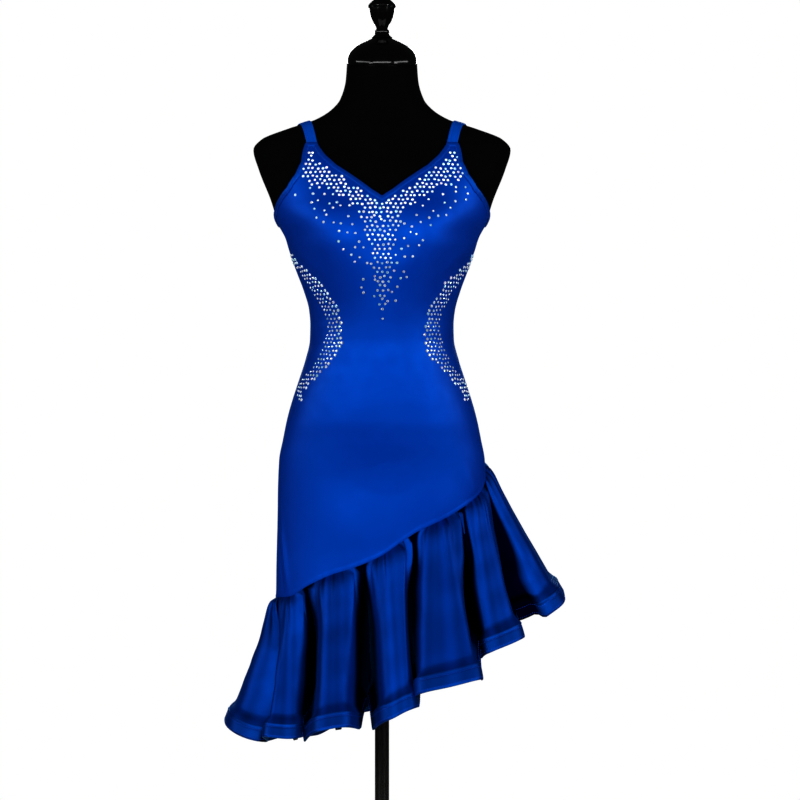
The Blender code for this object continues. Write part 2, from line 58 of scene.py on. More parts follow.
# Form: height, half width, depth to the front and to the back of the pole's axis, squareness
# of the section (2 is an ellipse).
BODY = np.array([
    (0.600, 0.1670, 0.0960, 0.1260, 2.10), (0.700, 0.1650, 0.0918, 0.1270, 2.10),
    (0.800, 0.1630, 0.0938, 0.1290, 2.10), (0.834, 0.1615, 0.0962, 0.1300, 2.10),
    (0.866, 0.1555, 0.1005, 0.1280, 2.10), (0.898, 0.1490, 0.1042, 0.1220, 2.10),
    (0.930, 0.1402, 0.1050, 0.1120, 2.10), (0.962, 0.1298, 0.1045, 0.1000, 2.10),
    (0.994, 0.1194, 0.1030, 0.0890, 2.10), (1.026, 0.1122, 0.1010, 0.0780, 2.10),
    (1.050, 0.1115, 0.1008, 0.0740, 2.10), (1.074, 0.1138, 0.1012, 0.0760, 2.10),
    (1.106, 0.1226, 0.1015, 0.0880, 2.15), (1.138, 0.1346, 0.1015, 0.0970, 2.20),
    (1.170, 0.1458, 0.1000, 0.1040, 2.30), (1.190, 0.1520, 0.1000, 0.1070, 2.35),
    (1.220, 0.1680, 0.0990, 0.1090, 2.45), (1.250, 0.1780, 0.0940, 0.1080, 2.50),
    (1.298, 0.1970, 0.0790, 0.1020, 2.60), (1.330, 0.2056, 0.0640, 0.0900, 2.60),
    (1.346, 0.1930, 0.0570, 0.0800, 2.50), (1.362, 0.1544, 0.0530, 0.0710, 2.30),
    (1.378, 0.1064, 0.0560, 0.0650, 2.10), (1.394, 0.0808, 0.0600, 0.0600, 2.00),
    (1.410, 0.0672, 0.0630, 0.0550, 2.00), (1.440, 0.0580, 0.0670, 0.0470, 2.00),
    (1.466, 0.0560, 0.0700, 0.0420, 2.00),
])

# Top edges of the panels from the middle to the side seam: distance across, height.
FRONT_TOP = np.array([
    (0.0000, 1.2470), (0.0170, 1.2580), (0.0430, 1.2775), (0.0720, 1.2975), (0.0890, 1.3135),
    (0.1025, 1.3345), (0.1188, 1.3345), (0.1260, 1.3030), (0.1345, 1.2840), (0.1475, 1.2640),
    (0.1580, 1.2510), (0.1670, 1.2310),
])
BACK_TOP = np.array([
    (0.0000, 1.2080), (0.0300, 1.2140), (0.0550, 1.2320), (0.0720, 1.2570), (0.0820, 1.2850),
    (0.0990, 1.2850), (0.1100, 1.2560), (0.1270, 1.2350), (0.1460, 1.2220),
])

# Seam between skirt and flounce: turn in degrees, height.
SKIRT_SEAM = np.array([
    (-90, 0.614), (-58, 0.620), (-43, 0.638), (-28, 0.656), (-14, 0.669), (0, 0.687), (10, 0.707),
    (20, 0.725), (35, 0.743), (50, 0.762), (67, 0.782), (80, 0.800), (90, 0.822), (100, 0.833),
    (112, 0.818), (130, 0.770), (150, 0.716), (180, 0.655), (210, 0.616), (240, 0.600),
    (270, 0.614),
])

# Hanging folds of the flounce, round from the -X side over the front: the turn of the groove
# before the fold, at the seam; where that groove ends at the hem, x and y, and its cloth's length
# from seam to hem; where the fold's ridge ends at the hem, x and y, and its cloth's length; and
# how much wider than its grooves the fold bulges.
FOLDS = np.array([
    (-100, -0.205, 0.060, 0.217, -0.245, 0.002, 0.214, 0.010),
    (-76, -0.174, -0.082, 0.229, -0.155, -0.142, 0.230, 0.012),
    (-43, -0.122, -0.085, 0.230, -0.078, -0.200, 0.253, 0.002),
    (-11, -0.022, -0.088, 0.222, 0.024, -0.195, 0.263, 0.004),
    (17, 0.054, -0.092, 0.234, 0.101, -0.195, 0.271, 0.024),
    (47, 0.147, -0.095, 0.226, 0.192, -0.128, 0.245, 0.013),
    (79, 0.203, -0.046, 0.226, 0.286, 0.006, 0.240, 0.018),
    (103, 0.200, 0.070, 0.228, 0.232, 0.140, 0.245, 0.012),
    (128, 0.158, 0.124, 0.232, 0.150, 0.212, 0.250, 0.012),
    (153, 0.095, 0.142, 0.230, 0.064, 0.238, 0.254, 0.016),
    (178, 0.018, 0.146, 0.238, -0.030, 0.244, 0.266, 0.016),
    (203, -0.072, 0.142, 0.241, -0.118, 0.216, 0.272, 0.012),
    (230, -0.140, 0.118, 0.236, -0.196, 0.136, 0.252, 0.008),
])
TURN, GROOVE, GROOVE_LENGTH, RIDGE, RIDGE_LENGTH, BULGE = 0, slice(1, 3), 3, slice(4, 6), 6, 7

# Creases and swells of the panels: turn in degrees, height, lean in degrees of the crease's line
# from upright (its top towards larger turns), half length, half width, stand off the form.
FRONT_CREASES = np.array([
    (-66, 0.682, -14, 0.052, 0.0060, 0.0036), (-73, 0.668, -10, 0.040, 0.0060, 0.0020),
    (0, 0.806, 0, 0.036, 0.0700, -0.0016), (34, 0.776, 20, 0.040, 0.0300, 0.0008),
    (-20, 0.730, 10, 0.040, 0.0300, 0.0024), (56, 0.800, -30, 0.030, 0.0140, 0.0022),
    (-55, 1.016, 74, 0.036, 0.0070, 0.0012), (52, 1.034, -70, 0.040, 0.0080, 0.0012),
    (60, 1.006, -78, 0.030, 0.0060, 0.0010), (-62, 1.044, 80, 0.030, 0.0060, 0.0010),
    (-72, 1.196, 24, 0.020, 0.0060, 0.0022), (74, 1.190, -24, 0.022, 0.0060, 0.0018),
    (-50, 1.142, -52, 0.036, 0.0090, 0.0014), (50, 1.148, 50, 0.034, 0.0090, 0.0012),
    (0, 1.120, 0, 0.050, 0.0200, -0.0006),
])
BACK_CREASES = np.array([
    (180, 1.040, 84, 0.060, 0.0090, 0.0030), (172, 1.018, 96, 0.052, 0.0080, 0.0026),
    (190, 1.066, 88, 0.044, 0.0080, 0.0020), (212, 1.030, 74, 0.044, 0.0080, 0.0022),
    (146, 1.050, 104, 0.046, 0.0080, 0.0020), (238, 0.950, 40, 0.050, 0.0100, 0.0016),
    (124, 0.944, -42, 0.052, 0.0100, 0.0016), (180, 0.760, 0, 0.070, 0.0240, 0.0030),
    (206, 0.700, 14, 0.056, 0.0120, 0.0024), (160, 0.770, -16, 0.050, 0.0120, 0.0020),
    (180, 1.150, 0, 0.050, 0.0200, 0.0016), (236, 1.150, 30, 0.030, 0.0070, 0.0014),
    (126, 1.148, -30, 0.032, 0.0070, 0.0014),
])

# How far the painted shade of each groove reaches over the folds beside it, as a share of
# half a fold: to the fold before the groove and to the fold after it, groove by groove as in
# FOLDS.
DARK_REACH = np.array([
    (0.30, 0.30), (0.10, 0.20), (0.42, 0.60), (0.42, 0.54), (0.36, 0.50), (0.32, 0.66),
    (0.34, 0.42), (0.20, 0.30), (0.36, 0.50), (0.36, 0.50), (0.36, 0.50), (0.36, 0.50),
    (0.36, 0.50),
])

# Pleats given one by one near the flounce's seam: place in folds, half width in folds, stand,
# share of the length where the pleat has faded.
PLEATS = np.array([
    (0.86, 0.050, 0.0040, 0.60), (1.10, 0.045, -0.0030, 0.50), (1.80, 0.035, 0.0040, 0.45),
    (1.95, 0.030, 0.0045, 0.55), (2.12, 0.035, 0.0040, 0.50), (2.78, 0.035, 0.0045, 0.45),
    (2.93, 0.035, 0.0050, 0.50), (3.70, 0.045, 0.0060, 0.75), (3.88, 0.035, 0.0040, 0.40),
    (4.62, 0.040, 0.0050, 0.45), (4.82, 0.045, 0.0065, 0.60), (5.02, 0.040, 0.0050, 0.50),
    (5.22, 0.040, 0.0040, 0.40), (5.86, 0.040, 0.0035, 0.35), (7.10, 0.050, 0.0050, 0.50),
    (8.05, 0.045, 0.0050, 0.55), (9.90, 0.050, 0.0050, 0.50), (11.10, 0.045, 0.0055, 0.60),
    (12.00, 0.050, 0.0050, 0.50),
])

# Lathe outlines: distance from the axis, height.
CAP_OUTLINE = np.array([
    (0.0000, 1.4663), (0.0548, 1.4663), (0.0556, 1.4680), (0.0556, 1.4745), (0.0545, 1.4790),
    (0.0520, 1.4838), (0.0474, 1.4890), (0.0408, 1.4945), (0.0320, 1.4995), (0.0235, 1.5030),
    (0.0172, 1.5055), (0.0168, 1.5060), (0.0000, 1.5060),
])
FINIAL_OUTLINE = np.array([
    (0.0000, 1.5062), (0.0166, 1.5062), (0.0168, 1.5072), (0.0150, 1.5090), (0.0126, 1.5112),
    (0.0114, 1.5138), (0.0118, 1.5146), (0.0118, 1.5180), (0.0112, 1.5190), (0.0096, 1.5206),
    (0.0092, 1.5225), (0.0110, 1.5270), (0.0146, 1.5325), (0.0176, 1.5390), (0.0196, 1.5470),
    (0.0204, 1.5530), (0.0206, 1.5545), (0.0224, 1.5562), (0.0226, 1.5580), (0.0210, 1.5606),
    (0.0166, 1.5650), (0.0120, 1.5690), (0.0106, 1.5725), (0.0112, 1.5765), (0.0130, 1.5812),
    (0.0132, 1.5855), (0.0118, 1.5905), (0.0084, 1.5945), (0.0040, 1.5962), (0.0000, 1.5965),
])
BASE_OUTLINE = np.array([
    (0.0000, 0.0000), (0.1740, 0.0000), (0.1750, 0.0010), (0.1750, 0.0080), (0.1742, 0.0105),
    (0.1720, 0.0126), (0.1690, 0.0138), (0.1200, 0.0168), (0.0400, 0.0198), (0.0300, 0.0215),
    (0.0262, 0.0238), (0.0240, 0.0260), (0.0232, 0.0285), (0.0222, 0.0296), (0.0214, 0.0300),
    (0.0000, 0.0300),
])

# Half moons of stones at the waist: height, distance across to the edge that faces the middle,
# and to the edge that faces the side.
MOON = np.array([
    (1.1570, 0.1360, 0.1425), (1.1500, 0.1315, 0.1400), (1.1368, 0.1165, 0.1290),
    (1.1144, 0.0927, 0.1140), (1.0993, 0.0830, 0.1050), (1.0862, 0.0726, 0.0975),
    (1.0684, 0.0656, 0.0885), (1.0477, 0.0613, 0.0835), (1.0277, 0.0604, 0.0865),
    (1.0137, 0.0613, 0.0910), (1.0050, 0.0656, 0.0940), (0.9945, 0.0717, 0.0990),
    (0.9866, 0.0779, 0.1030), (0.9727, 0.0935, 0.1150), (0.9587, 0.1058, 0.1265),
    (0.9500, 0.1150, 0.1300), (0.9395, 0.1240, 0.1320),
])


# ------------------------------------------------------------------------ numbers and curves
def monotone(knots: Array, values: Array, where: Array) -> Array:
    """Cubic through the rows of a table that never overshoots them.

    The tangent at a row is the harmonic mean of the slopes beside it, or zero where they turn.

    Args:
        knots: Rising places of the rows.
        values: The rows' values.
        where: Places to read the curve at.

    Returns:
        The curve's values.
    """
    steps = np.diff(knots)
    slopes = np.diff(values) / steps
    product = slopes[:-1] * slopes[1:]
    total = slopes[:-1] + slopes[1:]
    tangents = np.concatenate([slopes[:1], np.zeros(len(slopes) - 1), slopes[-1:]])
    same_way = product > 0
    tangents[1:-1][same_way] = 2 * product[same_way] / total[same_way]
    index = np.clip(np.searchsorted(knots, where) - 1, 0, len(steps) - 1)
    step = steps[index]
    share = (where - knots[index]) / step
    rest = 1 - share
    return (values[index] * rest**2 * (1 + 2 * share)
            + values[index + 1] * share**2 * (1 + 2 * rest)
            + step * share * rest * (tangents[index] * rest - tangents[index + 1] * share))


def smooth_step(low: Array | float, high: Array | float, where: Array) -> Array:
    """0 below low, 1 above high, and 3s^2 - 2s^3 of the share s of the way between them."""
    share = np.clip((where - low) / (high - low), 0.0, 1.0)
    return share * share * (3 - 2 * share)


def bell(distance: Array) -> Array:
    """Bell curve exp(-d^2)."""
    return np.exp(-distance * distance)


def unit(vectors: Array) -> Array:
    """The same directions with a length of one."""
    return vectors / np.maximum(np.linalg.norm(vectors, axis=-1, keepdims=True), 1e-12)


def run_along(points: Array) -> Array:
    """Length along a line of points, counted from its first point."""
    steps = np.linalg.norm(np.diff(points, axis=0), axis=-1)
    return np.concatenate([[0.0], np.cumsum(steps)])


def wander(first: Array, second: Array, seed: int, stand: float, spacing: float) -> Array:
    """Uneven swell: a sum of eight sine waves in seeded directions.

    Args:
        first: First coordinate, in metres.
        second: Second coordinate, in metres.
        seed: Picks the directions, lengths and phases of the waves.
        stand: Height of the swell.
        spacing: Usual distance from crest to crest.

    Returns:
        The swell at each point.
    """
    dice = np.random.default_rng(seed)
    total = np.zeros(np.broadcast(first, second).shape)
    for _ in range(8):
        angle = dice.uniform(0, 2 * math.pi)
        length = spacing * dice.uniform(0.7, 1.6)
        phase = dice.uniform(0, 2 * math.pi)
        way = first * math.cos(angle) + second * math.sin(angle)
        total += np.sin(2 * math.pi * way / length + phase)
    return total * stand / 4


# ------------------------------------------------------------------------ meshes
def quads(index: Array) -> Array:
    """Corner numbers of the faces of a grid of point numbers."""
    corners = [index[:-1, :-1], index[:-1, 1:], index[1:, 1:], index[1:, :-1]]
    return np.stack(corners, axis=-1).reshape(-1, 4)


def make_piece(name: str, points: Array, faces: list, finish: bpy.types.Material,
               uv: Array | None = None, sharp: float = 50.0,
               fold: Array | None = None) -> bpy.types.Object:
    """Puts points and faces into a new piece that rides on the one body.

    Args:
        name: The piece's name.
        points: Points, in metres.
        faces: Lists of point numbers; a closed mesh is turned to face outwards.
        finish: The piece's material.
        uv: Cloth coordinates of each point, in metres.
        sharp: Edges that turn by more than this, in degrees, stay sharp.
        fold: Painted shade of each point, from 0 to 1.

    Returns:
        The new object, at the origin.
    """
    mesh = bpy.data.meshes.new(name)
    mesh.from_pydata(points.reshape(-1, 3).tolist(), [], faces)
    shell = bmesh.new()
    shell.from_mesh(mesh)
    bmesh.ops.recalc_face_normals(shell, faces=shell.faces)
    shell.to_mesh(mesh)
    shell.free()
    if uv is not None:
        corners = np.empty(len(mesh.loops), dtype=np.int32)
        mesh.loops.foreach_get("vertex_index", corners)
        layer = mesh.uv_layers.new(name="cloth")
        layer.data.foreach_set("uv", uv.reshape(-1, 2)[corners].astype(np.float32).ravel())
    if fold is not None:
        layer = mesh.attributes.new("fold", "FLOAT", "POINT")
        layer.data.foreach_set("value", fold.astype(np.float32).ravel())
    mesh.shade_smooth()
    mesh.set_sharp_from_angle(angle=math.radians(sharp))
    mesh.materials.append(finish)
    piece = bpy.data.objects.new(name, mesh)
    bpy.context.scene.collection.objects.link(piece)
    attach(piece, BODY_NAME)
    LOG.info("%s: %d points, %d faces", name, len(mesh.vertices), len(mesh.polygons))
    return piece


def wall_faces(rows: int, columns: int) -> list:
    """Faces of a wall between two grids of points, outer one first, closed along its rim."""
    count = rows * columns
    front = np.arange(count).reshape(rows, columns)
    rim = np.concatenate([front[0, :], front[1:, -1], front[-1, -2::-1], front[-2::-1, 0]])
    sides = [quads(front), quads(front + count), quads(np.stack([rim, rim + count]))]
    return np.concatenate(sides).tolist()


def cloth_uv(outer: Array) -> Array:
    """Cloth coordinates of a grid: the mean run along its rows and along its columns."""
    along = np.linalg.norm(np.diff(outer, axis=1), axis=-1).mean(axis=0)
    down = np.linalg.norm(np.diff(outer, axis=0), axis=-1).mean(axis=1)
    first = np.concatenate([[0.0], np.cumsum(along)])
    second = np.concatenate([[0.0], np.cumsum(down)])
    grid = np.stack(np.broadcast_arrays(first[None, :], second[:, None]), axis=-1)
    return np.concatenate([grid.reshape(-1, 2)] * 2)


def make_wall(name: str, outer: Array, inner: Array, finish: bpy.types.Material,
              fold: Array | None = None) -> bpy.types.Object:
    """Cloth: the closed wall between an outer and an inner grid of points.

    Args:
        name: The piece's name.
        outer: Points of the outer side, rows by columns.
        inner: The matching points of the inner side.
        finish: The piece's material.
        fold: Painted shade of each point of the outer side, from 0 to 1.

    Returns:
        The new object.
    """
    points = np.concatenate([outer.reshape(-1, 3), inner.reshape(-1, 3)])
    faces = wall_faces(*outer.shape[:2])
    if fold is not None:
        # The inner side gets an even painted shade.
        fold = np.concatenate([fold.ravel(), np.full(fold.size, INSIDE_PAINTED_SHADE)])
    return make_piece(name, points, faces, finish, uv=cloth_uv(outer), sharp=60.0,
                      fold=fold)


def tube_faces(rings: int, sides: int, closed: bool = False) -> list:
    """Faces of a tube of rings: ends capped, or joined to each other where it is closed."""
    index = np.arange(rings * sides).reshape(rings, sides)
    index = np.concatenate([index, index[:, :1]], axis=1)
    if closed:
        return quads(np.concatenate([index, index[:1]])).tolist()
    ends = [index[0, :-1].tolist()[::-1], index[-1, :-1].tolist()]
    return quads(index).tolist() + ends


# ------------------------------------------------------------------------ finishes
class Pattern(Enum):
    """What a texture is laid out on."""

    SPACE = "Object"
    CLOTH = "UV"


class Bench:
    """A new material and short ways to add nodes to it."""

    def __init__(self, name: str) -> None:
        """Makes the material with its Principled shader."""
        self.material = bpy.data.materials.new(name)
        self.material.use_nodes = True
        self.tree = self.material.node_tree
        self.shader = self.tree.nodes["Principled BSDF"]

    def add(self, kind: str, **values: object) -> bpy.types.Node:
        """Adds a node; a value goes to the input, or else the property, of that name.

        Args:
            kind: Blender's name of the node type.
            **values: Numbers, colours, options or sockets to join, with _ for a space.

        Returns:
            The new node.
        """
        node = self.tree.nodes.new(kind)
        for key, value in values.items():
            label = key.replace("_", " ").strip()
            if label not in node.inputs:
                setattr(node, key, value)
            elif isinstance(value, bpy.types.NodeSocket):
                self.tree.links.new(value, node.inputs[label])
            else:
                node.inputs[label].default_value = value
        return node

    def place(self, pattern: Pattern, scale: tuple = (1, 1, 1), turn: float = 0.0) -> object:
        """Coordinates that a pattern is laid out on, scaled and turned about Z."""
        source = self.add("ShaderNodeTexCoord").outputs[pattern.value]
        node = self.add("ShaderNodeMapping", Vector=source, Scale=scale, Rotation=(0, 0, turn))
        return node.outputs["Vector"]

    def noise(self, place: object, scale: float, detail: float = 2.0) -> object:
        """Noise of a scale, in cells for each metre."""
        node = self.add("ShaderNodeTexNoise", Vector=place, Scale=scale, Detail=detail)
        return node.outputs["Fac"]

    def stretch(self, value: object, low: float, high: float, to_low: float,
                to_high: float) -> object:
        """The value carried from one range to another, and held at its ends."""
        node = self.add("ShaderNodeMapRange", Value=value, From_Min=low, From_Max=high,
                        To_Min=to_low, To_Max=to_high)
        return node.outputs["Result"]

    def blend(self, share: object, first: object, second: object) -> object:
        """Colour between two colours, each three numbers or a socket."""
        node = self.add("ShaderNodeMix", data_type="RGBA")
        self.tree.links.new(share, node.inputs["Factor"])
        for socket, colour in ((node.inputs[6], first), (node.inputs[7], second)):
            if isinstance(colour, bpy.types.NodeSocket):
                self.tree.links.new(colour, socket)
            else:
                socket.default_value = (*colour, 1)
        return node.outputs[2]

    def bump(self, height: object, strength: float, distance: float,
             below: object = None) -> object:
        """Bumps of a height in metres, laid over other bumps where those are given."""
        node = self.add("ShaderNodeBump", Height=height, Strength=strength, Distance=distance)
        if below is not None:
            self.tree.links.new(below, node.inputs["Normal"])
        return node.outputs["Normal"]

    def finish(self, **values: object) -> bpy.types.Material:
        """Sets the shader's inputs, by name, and hands over the material."""
        for key, value in values.items():
            socket = self.shader.inputs[key.replace("_", " ")]
            if isinstance(value, bpy.types.NodeSocket):
                self.tree.links.new(value, socket)
            else:
                socket.default_value = value
        return self.material


@dataclass(frozen=True)
class Satin:
    """Stretch satin: close knit with a broad coloured shine."""

    name: str
    lit: tuple = (0.000, 0.050, 0.390)
    deep: tuple = (0.000, 0.038, 0.350)
    # Colour of the painted shade in the grooves of the folds.
    shade: tuple = (0.000, 0.000, 0.006)
    shine: tuple = (0.000, 0.700, 1.000, 1.0)
    roughness: float = 0.48
    metallic: float = 0.36
    bloom: float = 0.12
    knit: float = 0.00042

    def build(self) -> bpy.types.Material:
        """Makes the material: slow colour changes, fine knit, small unevenness and painted shade.
        """
        bench = Bench(self.name)
        space = bench.place(Pattern.SPACE)
        slow = bench.noise(space, 14.0, 3.0)
        colour = bench.blend(slow, self.deep, self.lit)
        rough = bench.stretch(bench.noise(space, 60.0), 0.3, 0.7, self.roughness - 0.03,
                              self.roughness + 0.03)
        cloth = bench.place(Pattern.CLOTH, turn=math.radians(35))
        twill = bench.add("ShaderNodeTexWave", Vector=cloth, Scale=1 / self.knit / 6.3,
                          Distortion=0.6, Detail=1.0).outputs["Fac"]
        weave = bench.bump(twill, 0.05, 0.00008)
        uneven = bench.bump(bench.noise(space, 42.0, 3.0), 0.12, 0.0012, below=weave)
        # Painted shade: the fold attribute blends the colour towards the shade colour and makes the
        # shader metallic, so that the painted shade also takes away the specular highlights.
        fold = bench.add("ShaderNodeAttribute", attribute_name="fold").outputs["Fac"]
        colour = bench.blend(fold, colour, self.shade)
        metal = bench.stretch(fold, 0.0, 1.0, self.metallic, 1.0)
        return bench.finish(Base_Color=colour, Roughness=rough, Metallic=metal,
                            Normal=uneven, Specular_IOR_Level=0.5, Specular_Tint=self.shine,
                            Sheen_Weight=self.bloom, Sheen_Roughness=0.30,
                            Sheen_Tint=(0.0, 0.25, 1.0, 1.0))


@dataclass(frozen=True)
class Jersey:
    """Matt black cover of the form."""

    name: str = "black_jersey_cover"
    colour: tuple = (0.0006, 0.0006, 0.0007)

    def build(self) -> bpy.types.Material:
        """Makes the material: fine ribs of knit and lint-like unevenness."""
        bench = Bench(self.name)
        space = bench.place(Pattern.SPACE)
        colour = bench.blend(bench.noise(space, 30.0, 4.0), self.colour,
                             tuple(2.2 * part for part in self.colour))
        knit = bench.noise(bench.place(Pattern.SPACE, scale=(1, 1, 0.45)), 1400.0, 1.0)
        return bench.finish(Base_Color=colour, Roughness=0.92, Specular_IOR_Level=0.05,
                            Normal=bench.bump(knit, 0.25, 0.0002))


@dataclass(frozen=True)
class Lacquer:
    """Black gloss lacquer on turned wood."""

    name: str = "black_gloss_lacquer"

    def build(self) -> bpy.types.Material:
        """Makes the material: a clear coat over black, with soft waves and fine dust marks."""
        bench = Bench(self.name)
        space = bench.place(Pattern.SPACE)
        rough = bench.stretch(bench.noise(space, 120.0, 4.0), 0.35, 0.75, 0.10, 0.22)
        waves = bench.bump(bench.noise(space, 55.0, 1.0), 0.08, 0.0006)
        return bench.finish(Base_Color=(0.002, 0.002, 0.0022, 1), Roughness=rough, Normal=waves,
                            Coat_Weight=0.20, Coat_Roughness=0.05,
                            Specular_IOR_Level=0.2)


@dataclass(frozen=True)
class Steel:
    """Steel with a black gloss coating."""

    name: str = "black_coated_steel"

    def build(self) -> bpy.types.Material:
        """Makes the material: black coating with faint lengthwise wipe marks."""
        bench = Bench(self.name)
        lines = bench.noise(bench.place(Pattern.SPACE, scale=(1, 1, 0.03)), 900.0, 2.0)
        rough = bench.stretch(lines, 0.3, 0.7, 0.16, 0.30)
        colour = bench.blend(bench.noise(bench.place(Pattern.SPACE), 25.0, 3.0),
                             (0.004, 0.0035, 0.003), (0.010, 0.009, 0.008))
        return bench.finish(Base_Color=colour, Roughness=rough, Metallic=0.35,
                            Normal=bench.bump(lines, 0.04, 0.0001), Coat_Weight=0.4,
                            Coat_Roughness=0.12)


@dataclass(frozen=True)
class Thread:
    """Sewing thread."""

    name: str = "blue_thread"
    colour: tuple = (0.001, 0.045, 0.420)

    def build(self) -> bpy.types.Material:
        """Makes the material: dyed thread with its twist."""
        bench = Bench(self.name)
        twist = bench.noise(bench.place(Pattern.SPACE), 2600.0, 1.0)
        colour = bench.blend(twist, self.colour, tuple(1.7 * part for part in self.colour))
        return bench.finish(Base_Color=colour, Roughness=0.45, Metallic=0.2,
                            Normal=bench.bump(twist, 0.3, 0.0001))


@dataclass(frozen=True)
class Crystal:
    """Cut glass stones with a foiled back and a rainbow coating."""

    name: str = "cut_crystal"

    def build(self) -> bpy.types.Material:
        """Makes the material: each facet keeps its own painted glint colour, under a hard gloss,
        and glows with it.
        """
        bench = Bench(self.name)
        glint = bench.add("ShaderNodeAttribute", attribute_name="glint").outputs["Color"]
        rough = bench.stretch(bench.noise(bench.place(Pattern.SPACE), 900.0), 0.3, 0.7, 0.05, 0.14)
        # Emission paints a glow of the glint colour onto the stones, though they are no lamp.
        return bench.finish(Base_Color=glint, Roughness=rough, Metallic=0.15,
                            Specular_IOR_Level=0.8, Emission_Color=glint, Emission_Strength=0.42,
                            Coat_Weight=1.0, Coat_Roughness=0.03)


@dataclass(frozen=True)
class PaleFloor:
    """Plain pale studio floor."""

    name: str = "pale_floor"

    def build(self) -> bpy.types.Material:
        """Makes the material: near white with a faint mottle."""
        bench = Bench(self.name)
        mottle = bench.noise(bench.place(Pattern.SPACE), 3.0, 3.0)
        colour = bench.blend(mottle, (0.86, 0.86, 0.86), (0.90, 0.90, 0.90))
        return bench.finish(Base_Color=colour, Roughness=0.7)


# ------------------------------------------------------------------------ form and stand
@dataclass
class DressForm:
    """Limbless form: the surface that every cloth piece is worked out from, and its own torso."""

    bottom: float = 0.700
    neck_top: float = 1.466
    neck_tilt: float = 0.21
    neck_tilt_start: float = 1.415
    neck_centre: float = -0.014
    bust_apex: float = 0.078
    bust_height: float = 1.178
    bust_stand: float = 0.030
    bust_spread: float = 0.066
    bust_rise: float = 0.070
    bust_drop: float = 0.052
    middle_drop: float = 0.110
    middle_width: float = 0.062
    bust_side_fade: float = 1.2
    rings: int = 190
    sides: int = 150
    step: float = 1e-5
    halvings: int = 40

    def section(self, height: Array) -> list[Array]:
        """Half width, front depth, back depth and squareness at a height."""
        return [monotone(BODY[:, 0], BODY[:, column], height) for column in range(1, 5)]

    def bust(self, across: Array, height: Array, facing: Array) -> Array:
        """How far the bust stands forward: two bells across times one bell up and down.

        Below the fullest height the bell is longer between the breasts, where the cloth spans.
        """
        spread = (bell((across - self.bust_apex) / self.bust_spread)
                  + bell((across + self.bust_apex) / self.bust_spread))
        drop = (self.bust_drop + (self.middle_drop - self.bust_drop)
                * bell(across / self.middle_width))
        run = np.where(height > self.bust_height, self.bust_rise, drop)
        return (self.bust_stand * spread * bell((height - self.bust_height) / run)
                * np.maximum(facing, 0.0)**self.bust_side_fade)

    def point(self, turn: Array, height: Array) -> Array:
        """Point of the surface: a superellipse |x/a|^p + |y/b|^p = 1 at each height, plus the bust.

        Args:
            turn: Turns, in radians.
            height: Heights, of the same shape.

        Returns:
            Points.
        """
        half, front, back, square = self.section(height)
        sine, cosine = np.sin(turn), np.cos(turn)
        reach = (np.abs(sine)**square + np.abs(cosine)**square)**(-1 / square)
        across = half * reach * sine
        depth = np.where(cosine > 0, front, back) * reach * cosine
        along = -depth - self.bust(across, height, cosine)
        tilt = self.neck_tilt * smooth_step(self.neck_tilt_start, self.neck_top, height)
        return np.stack([across, along, height + tilt * (along - self.neck_centre)], axis=-1)

    def slopes(self, turn: Array, height: Array) -> tuple[Array, Array]:
        """How the point moves with the turn and with the height."""
        step = self.step
        by_turn = self.point(turn + step, height) - self.point(turn - step, height)
        by_height = self.point(turn, height + step) - self.point(turn, height - step)
        return by_turn / (2 * step), by_height / (2 * step)

    def normal(self, turn: Array, height: Array) -> Array:
        """Direction straight out of the surface."""
        return unit(np.cross(*self.slopes(turn, height)))

    def skin(self, turn: Array, height: Array, out: Array | float) -> Array:
        """Point that lies a distance out from the surface."""
        turn, height, out = np.broadcast_arrays(np.asarray(turn, float), height, out)
        return self.point(turn, height) + out[..., None] * self.normal(turn, height)

    def turn_at(self, across: Array, height: Array) -> Array:
        """Turn up to a quarter at which the surface is a distance across, found by halving."""
        low, high = np.zeros_like(across), np.full_like(across, math.pi / 2)
        for _ in range(self.halvings):
            middle = (low + high) / 2
            wide = self.point(middle, height)[..., 0] > across
            high = np.where(wide, middle, high)
            low = np.where(wide, low, middle)
        return (low + high) / 2

    def shift(self, turn: Array, height: Array, step: Array) -> tuple[Array, Array]:
        """Turn and height after a small step in space along the surface.

        Args:
            turn: Turns to start from.
            height: Heights to start from.
            step: Steps, in metres.

        Returns:
            New turns and heights, from the least squares share of the step along each slope.
        """
        by_turn, by_height = self.slopes(turn, height)
        tt = (by_turn**2).sum(-1)
        th = (by_turn * by_height).sum(-1)
        hh = (by_height**2).sum(-1)
        st = (step * by_turn).sum(-1)
        sh = (step * by_height).sum(-1)
        area = tt * hh - th * th
        return turn + (st * hh - sh * th) / area, height + (sh * tt - st * th) / area

    def build(self, finish: bpy.types.Material) -> None:
        """Makes the torso: rings of surface points with a rounded rim at its lower cut end."""
        turns = np.arange(self.sides) * 2 * math.pi / self.sides
        heights = np.linspace(self.bottom, self.neck_top, self.rings)
        rings = self.point(*np.broadcast_arrays(turns, heights[:, None]))
        inset = np.array([0.90, 0.965, 0.992])[:, None, None]
        drop = np.array([0.0, 0.0, 0.0012])[:, None]
        low = rings[0] * inset
        low[..., 2] = self.bottom + drop
        rings[0, :, 2] = self.bottom + 0.004
        rings = np.concatenate([low, rings])
        torso = make_piece("torso_cover", rings, tube_faces(len(rings), self.sides), finish,
                           sharp=40.0)
        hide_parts("form_torso")


